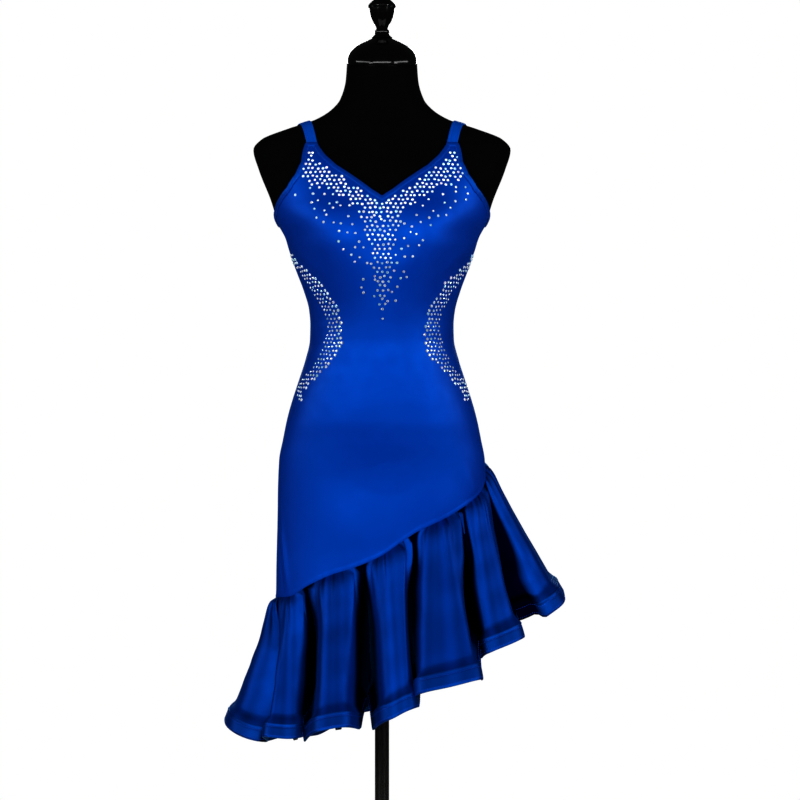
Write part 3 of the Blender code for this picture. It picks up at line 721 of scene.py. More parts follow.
@dataclass
class Stand:
    """Neck cap, finial, pole and weighted base."""

    neck_centre: float = -0.014
    cap_slant: float = 0.21
    pole_radius: float = 0.0113
    pole_low: float = 0.0303
    pole_high: float = 0.6997
    sides: int = 96

    def lathe(self, outline: Array, centre: float) -> Array:
        """Rings of an outline turned about an upright axis at y = centre."""
        radius, height = outline.T
        around = np.arange(self.sides) * 2 * math.pi / self.sides
        return np.stack(np.broadcast_arrays(radius[:, None] * np.cos(around),
                                            centre + radius[:, None] * np.sin(around),
                                            height[:, None]), axis=-1)

    def turned(self, name: str, outline: Array, centre: float, finish: bpy.types.Material,
               slant: float = 0.0) -> None:
        """Makes a turned solid from an outline that starts and ends on the axis.

        Args:
            name: The CAD node that the piece stands for.
            outline: Rows of distance from the axis and height.
            centre: Place of the axis along Y.
            finish: The piece's material.
            slant: Rise along +Y of the widest ring, which fades out towards the axis.
        """
        inner = outline[1:-1]
        rings = self.lathe(inner, centre)
        reach = inner[:, 0]
        fade = reach / reach.max()
        rings[..., 2] += slant * fade[:, None] * (rings[..., 1] - centre)
        piece = make_piece(f"{name}_turned", rings, tube_faces(len(rings), self.sides), finish,
                           sharp=32.0)
        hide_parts(name)

    def build(self, lacquer: bpy.types.Material, steel: bpy.types.Material) -> None:
        """Makes the cap, the finial, the pole and the base."""
        self.turned("neck_cap", CAP_OUTLINE, self.neck_centre, lacquer, self.cap_slant)
        self.turned("finial", FINIAL_OUTLINE, self.neck_centre, lacquer)
        self.turned("base", BASE_OUTLINE, 0.0, steel)
        heights = np.linspace(self.pole_low, self.pole_high, 24)
        pole = np.stack([np.full_like(heights, self.pole_radius), heights], axis=-1)
        self.turned("pole", np.concatenate([pole[:1], pole, pole[-1:]]), 0.0, steel)


# ------------------------------------------------------------------------ bodice and skirt
class Side(Enum):
    """Front or back of the dress."""

    FRONT = "front"
    BACK = "back"


@dataclass
class Panel:
    """One cloth panel, bodice and skirt in one, from the slanting seam to its top edge."""

    form: DressForm
    side: Side
    ease: float = 0.0020
    cloth: float = 0.0009
    side_top: float = 1.2150
    seam_gap: float = 0.0003
    edge_roll: float = 0.0006
    rows: int = 200
    neckline_columns: int = 40
    strap_columns: int = 6
    armhole_columns: int = 34
    crowding: float = 1.4

    def __post_init__(self) -> None:
        """Picks the tables of the panel's side."""
        front = self.side is Side.FRONT
        self.top = FRONT_TOP if front else BACK_TOP
        self.corner = 5 if front else 4
        self.middle = 0.0 if front else math.pi
        self.creases = FRONT_CREASES if front else BACK_CREASES
        self.edge_turns = np.append(self.form.turn_at(self.top[:, 0], self.top[:, 1]), math.pi / 2)
        self.edge_heights = np.append(self.top[:, 1], self.side_top)

    def seam_height(self, turn: Array) -> Array:
        """Height of the skirt's seam with the flounce."""
        return monotone(np.radians(SKIRT_SEAM[:, 0]), SKIRT_SEAM[:, 1], turn)

    def edge_height(self, turn: Array) -> Array:
        """Height of the top edge at turns counted from the panel's middle."""
        return np.interp(np.abs(turn), self.edge_turns, self.edge_heights)

    def crease(self, turn: Array, height: Array) -> Array:
        """How far creases and swells stand off the form.

        Each one is its stand times a bell across its line and a bell along it, laid out on the
        surface unrolled at the form's mean radius.  Slow swells are added between them.
        """
        arc = turn * 0.14
        total = wander(arc, height, 11 + len(self.side.value), 0.00022, 0.075)
        for degrees, middle, lean, length, width, stand in self.creases:
            first = (turn - math.radians(degrees)) * 0.14
            second = height - middle
            cosine, sine = math.cos(math.radians(lean)), math.sin(math.radians(lean))
            total = total + (stand * bell((first * cosine - second * sine) / width)
                             * bell((second * cosine + first * sine) / length))
        return total

    def lift(self, turn: Array, height: Array) -> Array:
        """Distance of the cloth's inner side from the form, with creases faded at the edges."""
        top = self.edge_height(turn - self.middle)
        low = self.seam_height(turn)
        fade = smooth_step(0.004, 0.030, top - height) * smooth_step(0.0, 0.016, height - low)
        pucker = np.sin(turn * 410 + 2 * np.sin(turn * 37)) * bell((height - low) / 0.007)
        return self.ease + np.maximum(fade * self.crease(turn, height), -0.0010) + 0.00025 * pucker

    def surface(self, turn: Array, height: Array, out: float = 0.0) -> Array:
        """Point on the outside of the cloth, or a distance out from it."""
        return self.form.skin(turn, height, self.lift(turn, height) + self.cloth + out)

    def turns(self) -> Array:
        """Columns of the whole panel, with one on each corner of the strap points."""
        inner, outer = self.edge_turns[self.corner:self.corner + 2]
        share = np.linspace(0, 1, self.armhole_columns)**self.crowding
        half = np.concatenate([np.linspace(0, inner, self.neckline_columns),
                               np.linspace(inner, outer, self.strap_columns)[1:-1],
                               outer + (math.pi / 2 - outer) * share])
        trim = self.seam_gap / 2 / BODY[:, 1].min()
        whole = np.concatenate([-half[:0:-1], half])
        return self.middle + np.clip(whole, -math.pi / 2 + trim, math.pi / 2 - trim)

    def build(self, finish: bpy.types.Material) -> bpy.types.Object:
        """Makes the panel: rows share out the way from the seam to the top edge evenly.

        Args:
            finish: The panel's material.

        Returns:
            The panel.
        """
        turns = self.turns()
        low, high = self.seam_height(turns), self.edge_height(turns - self.middle)
        heights = np.linspace(low, high, self.rows)
        lift = self.lift(turns, heights)
        roll = self.edge_roll * bell((heights - low - 0.0022) / 0.0016)
        outer = self.form.skin(turns, heights, lift + self.cloth + roll)
        inner = self.form.skin(turns, heights, lift)
        name = f"{self.side.value}_panel"
        piece = make_wall(f"{name}_cloth", outer, inner, finish)
        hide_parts(name)
        return piece


@dataclass
class Edge:
    """A line along cloth edges, with the direction out of the form and the one off the cloth."""

    form: DressForm
    turn: Array
    height: Array

    def __post_init__(self) -> None:
        """Works out the side direction: each corner shares its two runs' sides, mitred."""
        points = self.form.point(self.turn, self.height)
        self.normal = self.form.normal(self.turn, self.height)
        runs = unit(np.diff(points, axis=0))
        middle = unit(self.normal[1:] + self.normal[:-1])
        sides = unit(np.cross(runs, middle))
        before = np.concatenate([sides[:1], sides])
        after = np.concatenate([sides, sides[-1:]])
        shared = unit(before + after)
        mitre = np.maximum((shared * before).sum(-1, keepdims=True), 0.5)
        self.off = shared / mitre
        self.length = run_along(points)

    def strip(self, steps: Array, out: Array) -> Array:
        """Points of a strip beside the line.

        Args:
            steps: Distances off the line, one for each row.
            out: Distances out from the form, rows by places on the line.

        Returns:
            Points, rows by places.
        """
        turn, height = np.broadcast_arrays(self.turn, self.height)
        rows = []
        for step, lift in zip(steps, out):
            moved = self.form.shift(turn, height, self.off * step)
            rows.append(self.form.skin(*moved, lift))
        return np.stack(rows)


@dataclass
class Binding:
    """Strip folded over the cloth's edge and stitched down."""

    form: DressForm
    front: Panel
    back: Panel
    width: float = 0.0080
    wall: float = 0.0009
    lift: float = 0.0004
    overlap: float = 0.0011
    spacing: float = 0.0022
    stitch_inset: float = 0.0018

    def line(self, panel: Panel, start: float, end: float) -> tuple[Array, Array]:
        """Evenly spaced turns and heights along a panel's top edge.

        Args:
            panel: The panel that is bound.
            start: Turn from the panel's middle where the line starts.
            end: Turn from the panel's middle where it ends.

        Returns:
            Turns and heights.
        """
        knots = np.concatenate([-panel.edge_turns[:0:-1], panel.edge_turns])
        inside = knots[(knots > min(start, end)) & (knots < max(start, end))]
        corners = np.concatenate([[start], inside if end > start else inside[::-1], [end]])
        points = self.form.point(panel.middle + corners, panel.edge_height(corners))
        run = run_along(points)
        places = np.unique(np.concatenate([run, np.arange(0, run[-1], self.spacing)]))
        places = places[np.concatenate([[True], np.diff(places) > self.spacing / 6])]
        turns = np.interp(places, run, corners)
        return panel.middle + turns, panel.edge_height(turns)

    def strip(self, name: str, edge: Edge, thread: "Stitches",
              finish: bpy.types.Material) -> bpy.types.Object:
        """Makes one binding: a low arch across the strip that rolls over the cloth's edge.

        Args:
            name: CAD node that the binding stands for.
            edge: The line that it follows; off the cloth is to its left.
            thread: Collects the binding's stitches.
            finish: The binding's material.

        Returns:
            The binding.
        """
        share = np.linspace(0, 1, 11)
        steps = -self.width + (self.width + self.overlap) * share
        ease, cloth = self.front.ease, self.front.cloth
        arch = np.sqrt(np.clip(1 - np.abs(2 * share - 1)**3.2, 0, 1))
        groove = 0.45 * bell((steps + self.width - self.stitch_inset) / 0.0007)
        roll = smooth_step(0.90, 1.0, share)
        inner = (ease + cloth + self.lift) * (1 - roll) + ease * 0.3 * roll
        outer = inner + self.wall * (0.35 + arch - groove)
        ripple = 0.00012 * np.sin(edge.length / 0.0075 * 2 * math.pi) + 0 * share[:, None]
        ones = np.ones_like(edge.length)
        piece = make_wall(f"{name}_strip", edge.strip(steps, outer[:, None] * ones + ripple),
                          edge.strip(steps, inner[:, None] * ones), finish)
        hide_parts(name)
        row = edge.strip(np.array([self.stitch_inset - self.width]),
                         [ones * (ease + cloth + self.lift + self.wall * 0.95)])[0]
        thread.add(row, edge.normal)
        return piece


@dataclass
class Stitches:
    """Rows of machine stitches, gathered into one mesh."""

    name: str
    length: float = 0.0021
    gap: float = 0.0008
    radius: float = 0.00028
    sides: int = 5

    def __post_init__(self) -> None:
        """Starts with no stitches."""
        self.starts: list[Array] = []
        self.ends: list[Array] = []
        self.ups: list[Array] = []

    def add(self, line: Array, normal: Array) -> None:
        """Lays stitches end to end along a line of points.

        Args:
            line: Points of the line.
            normal: Direction out of the cloth at each point.
        """
        run = run_along(line)
        pitch = self.length + self.gap
        begin = np.arange(pitch / 2, run[-1] - self.length, pitch)
        for place, kept in ((begin, self.starts), (begin + self.length, self.ends)):
            kept.append(np.stack([np.interp(place, run, line[:, k]) for k in range(3)], axis=-1))
        self.ups.append(unit(np.stack([np.interp(begin, run, normal[:, k]) for k in range(3)],
                                      axis=-1)))

    def build(self, finish: bpy.types.Material) -> bpy.types.Object:
        """Makes all stitches: each is four small rings, the outer two drawn in and sunk."""
        start, end, up = (np.concatenate(part) for part in (self.starts, self.ends, self.ups))
        along = unit(end - start)
        side = np.cross(along, up)
        share = np.array([0.0, 0.22, 0.78, 1.0])
        size = self.radius * np.array([0.45, 1.0, 1.0, 0.45])
        sink = self.radius * np.array([-1.1, 0.0, 0.0, -1.1])
        around = np.arange(self.sides) * 2 * math.pi / self.sides
        centre = (start[:, None] * (1 - share)[:, None] + end[:, None] * share[:, None]
                  + up[:, None] * sink[:, None])
        ring = (side[:, None] * np.cos(around)[:, None] + up[:, None] * np.sin(around)[:, None])
        points = centre[:, :, None] + ring[:, None] * size[None, :, None, None]
        one = tube_faces(4, self.sides)
        count = points.shape[1] * points.shape[2]
        faces = [[corner + count * number for corner in face]
                 for number in range(len(points)) for face in one]
        return make_piece(self.name, points, faces, finish, sharp=180.0)


@dataclass
class Strap:
    """Strap from the front strap point over the shoulder to the back one."""

    form: DressForm
    sign: int
    front: float = 0.1107
    crossing: float = 0.1285
    back: float = 0.0905
    crest: float = 0.45
    width: float = 0.0170
    wall: float = 0.0013
    ease: float = 0.0014
    pivot_y: float = 0.010
    pivot_z: float = 1.270
    reach: float = 0.160
    rows: int = 90
    gap: float = 0.0014

    def inside(self, across: Array, along: Array, height: Array) -> Array:
        """Below zero inside the form's plain section |x/a|^p + |y/b|^p = 1, above zero outside."""
        half, front, back, square = self.form.section(height)
        depth = np.where(along < 0, front, back)
        return (np.abs(across) / half)**square + (np.abs(along) / depth)**square - 1

    def point(self, across: Array, lean: Array, out: Array) -> Array:
        """Point over the shoulder, found by halving along a ray from the pivot line.

        Args:
            across: Distances from the middle of the dress.
            lean: Angle of the ray: 0 looks forward, a quarter turn up.
            out: Distance out from the form.

        Returns:
            Points.
        """
        near, far = np.zeros_like(across), np.full_like(across, self.reach)
        for _ in range(self.form.halvings):
            middle = (near + far) / 2
            within = self.inside(across, self.pivot_y - middle * np.cos(lean),
                                 self.pivot_z + middle * np.sin(lean)) < 0
            near = np.where(within, middle, near)
            far = np.where(within, far, middle)
        along = self.pivot_y - near * np.cos(lean)
        height = self.pivot_z + near * np.sin(lean)
        step = self.form.step
        steps = [(step, 0, 0), (0, step, 0), (0, 0, step)]
        normal = np.stack([self.inside(across + x, along + y, height + z)
                           - self.inside(across - x, along - y, height - z) for x, y, z in steps],
                          axis=-1)
        return np.stack([across, along, height], axis=-1) + out[..., None] * unit(normal)

    def end_lean(self, across: Array, height: float, column: int, sign: int) -> Array:
        """Lean of the form's surface at a height on its front or its back."""
        half, *depths, square = self.form.section(np.full_like(across, height))
        along = sign * depths[column] * (1 - (across / half)**square)**(1 / square)
        return np.arctan2(height - self.pivot_z, self.pivot_y - along)

    def build(self, finish: bpy.types.Material, thread: Stitches) -> None:
        """Makes the strap: a flat band with rounded edges and two stitched grooves."""
        share = np.linspace(0, 1, self.rows)[:, None]
        middle = monotone(np.array([0.0, self.crest, 1.0]),
                          np.array([self.front, self.crossing, self.back]), share)
        place = np.linspace(-1, 1, 17)
        place = np.sign(place) * np.abs(place)**0.8
        across = middle + place * self.width / 2
        start = self.end_lean(across[0], FRONT_TOP[5, 1] + self.gap, 0, -1)
        end = self.end_lean(across[-1], BACK_TOP[4, 1] + self.gap, 1, 1)
        lean = start + (end - start) * share
        arch = (1 - np.abs(place)**6)**0.5
        grooves = bell((np.abs(place) - 0.50) / 0.09)
        ripple = 0.00010 * np.sin(share * 60)
        out = self.ease + self.wall * (0.35 + 0.65 * arch - 0.70 * grooves) + ripple
        mirror = np.array([self.sign, 1, 1])
        outer = self.point(across, lean, out) * mirror
        inner = self.point(across, lean, np.full_like(across, self.ease)) * mirror
        name = "strap_right" if self.sign > 0 else "strap_left"
        piece = make_wall(f"{name}_band", outer, inner, finish)
        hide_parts(name)
        normal = unit(outer - inner)
        for column in (4, 12):
            thread.add(outer[:, column] + 0.0001 * normal[:, column], normal[:, column])


# ------------------------------------------------------------------------ flounce
@dataclass
class Flounce:
    """Gathered flounce with its stiffened hem band, in a front and a back half."""

    form: DressForm
    panel: Panel
    cloth: float = 0.0010
    seam_gap: float = 0.0003
    side_gap: float = 0.0005
    hem_width: float = 0.025
    hem_wall: float = 0.0024
    hem_lip: float = 0.006
    lip_reach: float = 0.050
    ridge_power: float = 0.98
    puff: float = 0.0050
    puff_place: float = 0.07
    seam_square: float = 1.5
    hem_square: float = 3.2
    boxed_folds: int = 7
    # Least painted shade, laid over the whole flounce.
    shadow: float = 0.36
    groove_depth: float = 0.030
    fold_columns: int = 46
    rows: int = 60
    band_rows: int = 14
    left_split: float = 0.4
    right_split: float = 6.5

    def columns(self, place: Array) -> tuple[Array, Array, Array, Array, Array]:
        """Seam turn, groove line, ridge stand, cloth length and swing at places counted in folds.

        The groove line runs straight from groove to groove at the hem.  The stand is the way from
        it to the ridge, plus a sideways bulge times the sine of the swing, and the swing goes
        from minus half a turn at one groove to plus half a turn at the next.  The length goes over
        from ridge to groove within a narrow step on the front's own folds, and slowly on the rest.
        """
        lap, fold = np.divmod(np.floor(place).astype(int), len(FOLDS))
        row, after = FOLDS[fold], FOLDS[(fold + 1) % len(FOLDS)]
        share = (place - np.floor(place))[:, None]
        swing = 2 * math.pi * share - math.pi
        width = (after[:, TURN] - row[:, TURN]) % 360
        turn = row[:, TURN] + 360 * lap + width * share[:, 0]
        start, end = row[:, GROOVE], after[:, GROOVE]
        stand = row[:, RIDGE] - (start + end) / 2
        sideways = unit(np.stack([-stand[:, 1], stand[:, 0]], axis=-1))
        stand = stand + sideways * row[:, BULGE, None] * np.sin(swing)
        groove = np.where(share[:, 0] < 0.5, row[:, GROOVE_LENGTH], after[:, GROOVE_LENGTH])
        ridge = row[:, RIDGE_LENGTH]
        boxed = (fold > 0) & (fold <= self.boxed_folds)
        length = ridge + (groove - ridge) * smooth_step(np.where(boxed, 0.70, 0.10),
                                                        np.where(boxed, 0.83, 1.00),
                                                        np.abs(2 * share[:, 0] - 1))
        return np.radians(turn), start + (end - start) * share, stand, length, swing[:, 0]

    def seam(self, place: Array, out: Array | float) -> Array:
        """Top edge of the flounce, a gap below the skirt's lower edge."""
        turn = self.columns(place)[0]
        turn = np.where(turn < -math.pi / 2, turn + 2 * math.pi, turn)
        low = self.panel.seam_height(turn)
        return self.form.skin(turn, low, out) - np.array([0.0, 0.0, self.seam_gap])

    def gathers(self, place: Array, share: Array) -> Array:
        """How far pleats and gathers stand out: bells across the place that fade down the cloth.

        Args:
            place: Places round the flounce, in folds.
            share: Shares of the way from seam to hem, one for each row.

        Returns:
            Distances, rows by places.
        """
        total = np.zeros((len(share), len(place)))
        dice = np.random.default_rng(29)
        count = 7 * len(FOLDS)
        many = np.stack([(np.arange(count) + dice.uniform(-0.35, 0.35, count)) / 7,
                         dice.uniform(0.020, 0.036, count), dice.uniform(0.0010, 0.0030, count),
                         dice.uniform(0.10, 0.36, count)**0.8], axis=-1)
        lap = len(FOLDS)
        for middle, width, stand, reach in np.concatenate([many, PLEATS]):
            away = (place - middle + lap / 2) % lap - lap / 2
            rise = smooth_step(0.0, 0.035, share)
            fade = bell(share / reach) * rise
            total += stand * fade[:, None] * bell(away / (width * (1 + 1.2 * share[:, None])))
        return np.maximum(total, -0.0008)

    def surface(self, place: Array, share: Array) -> Array:
        """Middle of the cloth: rows of shares from seam to hem, columns of places.

        The grooves run straight from the seam to the groove line at the hem, drawn inwards below
        the form.  Each ridge stands off them by one less a power of the swing's size, and the
        power grows from seam to hem, so that a fold starts as a tent and opens to a full tube
        with a broad front and steep sides.  A puff stands out just under the seam, and a lip
        turns out above the hem band, which hangs straight.
        """
        _, groove, ridge, length, swing = self.columns(place)
        seam = self.seam(place, self.panel.ease + self.cloth / 2)
        share = share[:, None]
        away = np.abs(swing) / math.pi
        crest = 1 - away**(self.hem_square + (self.seam_square - self.hem_square) * (1 - share)**3)
        hem = groove + ridge * (1 - away**self.hem_square)[:, None]
        drop = np.sqrt(length**2 - ((hem - seam[:, :2])**2).sum(-1))
        height = seam[:, 2] - drop * share
        path = unit(np.gradient(hem, axis=0))
        outwards = np.stack([path[:, 1], -path[:, 0]], axis=-1)
        band = 1 - self.hem_width / length
        curl = self.hem_lip * smooth_step(band - self.lip_reach, band + 0.006, share)
        puff = self.puff * share / self.puff_place * np.exp(1 - share / self.puff_place) * crest
        stand = curl + puff + self.gathers(place, share[:, 0])
        below = self.form.bottom - height
        radial = unit(seam[:, :2])
        inward = np.minimum(((groove - seam[:, :2]) * radial).sum(-1), 0)
        kept = inward * (smooth_step(-0.002, 0.030, below) - 1) * share
        early, late = smooth_step(0.04, 0.40, share), smooth_step(0.65, 1.0, share)
        drawn = (self.groove_depth * smooth_step(0.005, 0.075, below) * early * (1 - late)
                 * (1 - crest))
        flat = (seam[:, :2] + (groove - seam[:, :2]) * share[..., None]
                + radial * kept[..., None] - unit(groove) * drawn[..., None]
                + ridge * (crest * share**self.ridge_power)[..., None]
                + outwards * stand[..., None])
        return np.concatenate([flat, height[..., None]], axis=-1)

    def depth(self, place: Array, share: Array) -> Array:
        """Painted shade of the cloth, from 0 to 1, deepest in the grooves.

        The painted shade of a groove opens downwards from the seam.  Past a fold's leading side,
        the one at the larger place, the cloth is fully shaded at once, and the shade fades slowly
        on the other side.  A lighter painted shade, varied in bands, lies over the rest of the
        flounce, and narrow lines of painted shade part the gathers, each a bell across that fades
        down the cloth.

        Args:
            place: Places round the flounce, in folds.
            share: Shares of the way from seam to hem, one for each row.

        Returns:
            Painted shade, rows by places.
        """
        swing = 2 * (place - np.floor(place)) - 1
        fold = np.floor(place).astype(int)
        before = DARK_REACH[(fold + 1) % len(FOLDS), 0]
        after = DARK_REACH[fold % len(FOLDS), 1]
        opened = (0.72 + 0.28 * smooth_step(0.0, 0.42, share))[:, None]
        lead = smooth_step(1 - before * opened, 1 - 0.66 * before * opened, swing)
        trail = smooth_step(1 - after * opened, 1 - 0.50 * after * opened, -swing)
        shade_streaks = (np.sin(place * 17.3 + 0.8) + np.sin(place * 29.9 + 2.1)
                   + np.sin(place * 46.7)) / 6
        dark = np.maximum(np.maximum(lead, trail), self.shadow * (1 + shade_streaks))
        dice = np.random.default_rng(31)
        lap, count = len(FOLDS), 6 * len(FOLDS)
        for number in range(count):
            middle = (number + dice.uniform(-0.35, 0.35)) / 6
            width, reach, strength = (dice.uniform(0.012, 0.026), dice.uniform(0.05, 0.24),
                                      dice.uniform(0.45, 1.0))
            away = (place - middle + lap / 2) % lap - lap / 2
            shade_slit = bell(away / (width * (1 + share[:, None]))) * bell(share / reach)[:, None]
            dark = np.maximum(dark, strength * shade_slit)
        return dark

    def half(self, side: Side, satin: bpy.types.Material, binding: bpy.types.Material,
             thread: Stitches) -> None:
        """Makes half the flounce and its hem band.

        Args:
            side: Front or back half.
            satin: The flounce's material.
            binding: The band's material.
            thread: Collects the band's stitches.
        """
        first, last = ((self.left_split, self.right_split) if side is Side.FRONT
                       else (self.right_split, len(FOLDS) + self.left_split))
        place = np.linspace(first + self.side_gap, last - self.side_gap,
                            round((last - first) * self.fold_columns))
        start = 1 - self.hem_width / self.columns(place)[3].mean()
        share = np.linspace(0, 1, self.rows)**1.25 * (start + 0.006)
        cloth = self.surface(place, share)
        normal = self.outwards(cloth)
        swell = wander(np.broadcast_to(place * 0.11, cloth.shape[:2]),
                       np.broadcast_to(share[:, None] * 0.25, cloth.shape[:2]), 5, 0.0006, 0.07)
        cloth = cloth + normal * (swell * smooth_step(0.05, 0.3, share)[:, None])[..., None]
        # The flounce gets the painted shade of its grooves.
        piece = make_wall(f"flounce_{side.value}_cloth", cloth + normal * self.cloth / 2,
                          cloth - normal * self.cloth / 2, satin,
                          self.depth(place, share))
        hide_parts(f"flounce_{side.value}")
        self.band(side, place, start, binding, thread)

    def outwards(self, grid: Array) -> Array:
        """Direction out of a grid whose rows run down and whose columns run round to +X."""
        return unit(np.cross(np.gradient(grid, axis=0), np.gradient(grid, axis=1)))

    def band(self, side: Side, place: Array, start: float, finish: bpy.types.Material,
             thread: Stitches) -> None:
        """Makes the hem band: a rolled upper edge, a flat stiff strip and a rounded lower edge.

        Args:
            side: Front or back half.
            place: Places round the flounce, in folds.
            start: Share of the length where the band starts.
            finish: The band's material.
            thread: Collects the band's stitches.
        """
        down = np.linspace(0, 1, self.band_rows)**0.9
        middle = self.surface(place, start + (1 - start) * down)
        normal = self.outwards(middle)
        roll = 0.0014 * bell((down - 0.07) / 0.08)
        dip = 0.0004 * bell((down - 0.20) / 0.06)
        end = smooth_step(0.90, 1.0, down)
        half = self.cloth / 2 + (self.hem_wall - self.cloth) / 2 * smooth_step(0.0, 0.3, down)
        half = half * (1 - 0.6 * end)
        ripple = 0.00018 * np.sin(place * 130)
        outer = middle + normal * ((half + roll - dip + 0.0006)[:, None] + ripple)[..., None]
        inner = middle - normal * (half + 0.0003)[:, None, None]
        # The hem band gets the same painted shade.
        piece = make_wall(f"hem_band_{side.value}_strip", outer, inner, finish,
                          self.depth(place, start + (1 - start) * down))
        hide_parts(f"hem_band_{side.value}")
        for row in (3, self.band_rows - 3):
            thread.add(outer[row] + 0.0001 * normal[row], normal[row])


# ------------------------------------------------------------------------ rhinestones
@dataclass
class Rhinestones:
    """Flat-backed cut stones, glued on the front panel in a V, a drip and two half moons."""

    panel: Panel
    large: float = 0.0046
    sides: int = 8

    def __post_init__(self) -> None:
        """Starts with no stones and a seeded dice."""
        self.dice = np.random.default_rng(7)
        self.across: list[Array] = []
        self.height: list[Array] = []
        self.size: list[Array] = []
        self.shine: list[Array] = []

    def keep(self, across: Array, height: Array, size: Array | float, shine: Array | float) -> None:
        """Keeps stones whose places are free of the ones kept before.

        Args:
            across: Distances from the middle, to either side.
            height: Heights.
            size: Diameters.
            shine: How bright the stones' painted glint is, set by their place.
        """
        size, shine = np.broadcast_to(size, across.shape), np.broadcast_to(shine, across.shape)
        inside = height < self.panel.edge_height(
            self.panel.form.turn_at(np.abs(across), height)) - 0.0090
        across, height, size, shine = (part[inside] for part in (across, height, size, shine))
        if self.across:
            others = np.stack([np.concatenate(self.across), np.concatenate(self.height)], axis=-1)
            here = np.stack([across, height], axis=-1)
            gap = np.linalg.norm(here[:, None] - others[None], axis=-1).min(axis=1)
            free = gap > 0.0050
            across, height, size, shine = (part[free] for part in (across, height, size, shine))
        self.across.append(across)
        self.height.append(height)
        self.size.append(size)
        self.shine.append(shine)

    def lattice(self, low: tuple, high: tuple, pitch: float,
                widen: float = 1.0) -> tuple[Array, Array]:
        """Staggered rows of places in a box, each moved a little at random.

        Args:
            low: Lowest first coordinate and height.
            high: Highest first coordinate and height.
            pitch: Distance between neighbours, in metres.
            widen: First coordinate's change for each metre.

        Returns:
            First coordinates and heights.
        """
        rows = np.arange(low[1], high[1], pitch * math.sqrt(3) / 2)
        columns = np.arange(low[0], high[0], pitch * widen)
        shift = (np.arange(len(rows)) % 2)[:, None] * pitch * widen / 2
        first = (columns + shift).ravel()
        height = np.repeat(rows, len(columns))
        jitter = self.dice.uniform(-0.16, 0.16, (2, len(first))) * pitch
        return first + jitter[0] * widen, height + jitter[1]

    def below_neck(self, across: Array, height: Array) -> Array:
        """Shortest distance to the neck edge, from its pieces of straight line."""
        here = np.stack([np.abs(across), height], axis=-1)[:, None]
        start, end = FRONT_TOP[:5], FRONT_TOP[1:6]
        run = end - start
        share = np.clip(((here - start) * run).sum(-1) / (run * run).sum(-1), 0, 1)
        return np.linalg.norm(here - start - share[..., None] * run, axis=-1).min(axis=1)

    def neckline(self) -> None:
        """Dense band below the V neck that fills the strap points."""
        across, height = self.lattice((-0.130, 1.190), (0.130, 1.325), 0.0074)
        below = self.below_neck(across, height)
        width = np.interp(np.abs(across), [0, 0.03, 0.09, 0.12], [0.038, 0.036, 0.043, 0.052])
        arm = np.interp(height, [1.2310, 1.2640, 1.3030, 1.3345], [0.150, 0.1400, 0.1240, 0.1170])
        kept = (below > 0.0100) & (below < width) & (np.abs(across) < arm - 0.004)
        kept &= height < 1.3200
        loose = smooth_step(0.75, 1.0, below / width) * 0.45
        loose += smooth_step(0.0145, 0.0100, below) * 0.5
        kept &= self.dice.uniform(size=len(across)) > loose
        # The V band gets the strongest painted glint.
        self.keep(across[kept], height[kept],
                  self.large * self.dice.uniform(0.84, 1.00, kept.sum()),
                  1.25)

    def drip(self) -> None:
        """Narrowing drip down the middle of the bodice."""
        across, height = self.lattice((-0.040, 1.058), (0.040, 1.222), 0.0082)
        half = np.interp(height, [1.050, 1.068, 1.100, 1.140, 1.170, 1.200, 1.222],
                         [0.002, 0.0035, 0.010, 0.013, 0.018, 0.028, 0.036])
        kept = np.abs(across) < half
        # Painted shade: stones lower on the drip glint less.
        self.keep(across[kept], height[kept],
                  self.large * self.dice.uniform(0.82, 1.02, kept.sum()),
                  np.interp(height[kept], [1.060, 1.150, 1.222], [0.22, 0.40, 0.90]))

    def scattered(self) -> None:
        """Single stones strewn over the bust and beside the drip."""
        across, height = self.lattice((-0.140, 1.070), (0.140, 1.290), 0.0140)
        across = across + self.dice.uniform(-0.003, 0.003, len(across))
        height = height + self.dice.uniform(-0.003, 0.003, len(across))
        low = np.interp(np.abs(across),
                        [0.0, 0.020, 0.030, 0.045, 0.055, 0.072, 0.085, 0.100, 0.120, 0.135],
                        [1.070, 1.078, 1.100, 1.130, 1.160, 1.175, 1.200, 1.213, 1.235, 1.245])
        kept = (height > low) & (self.below_neck(across, height) > 0.030)
        kept &= self.dice.uniform(size=len(across)) < 0.80
        # Painted shade: lower stones glint less.
        self.keep(across[kept], height[kept],
                  self.large * self.dice.uniform(0.75, 0.98, kept.sum()),
                  np.interp(height[kept], [1.080, 1.180, 1.250], [0.25, 0.55, 0.90]))

    def moons(self) -> None:
        """Half moon on each side: staggered on the cloth itself, largest on the inner edge."""
        form = self.panel.form
        for sign, shift in ((-1, 0.0), (1, 0.0035)):
            turn, height = self.lattice((0.30, 0.930), (1.60, 1.165), 0.0074, 1 / 0.115)
            across = form.point(turn, height)[:, 0]
            inner = np.interp(-height, -MOON[:, 0], MOON[:, 1]) + shift
            outer = np.interp(-height, -MOON[:, 0], MOON[:, 2]) + shift
            place = (across - inner) / (outer - inner)
            kept = (place > 0) & (place < 1)
            size = np.interp(place[kept], [0.0, 0.12, 0.3, 0.6], [1.2, 1.05, 0.9, 0.76])
            # Painted shade: stones at the middle of a half moon glint less than at its ends.
            self.keep(sign * across[kept], height[kept], self.large * size,
                      0.45 + 0.4 * smooth_step(0.03, 0.09, np.abs(height[kept] - 1.030)))

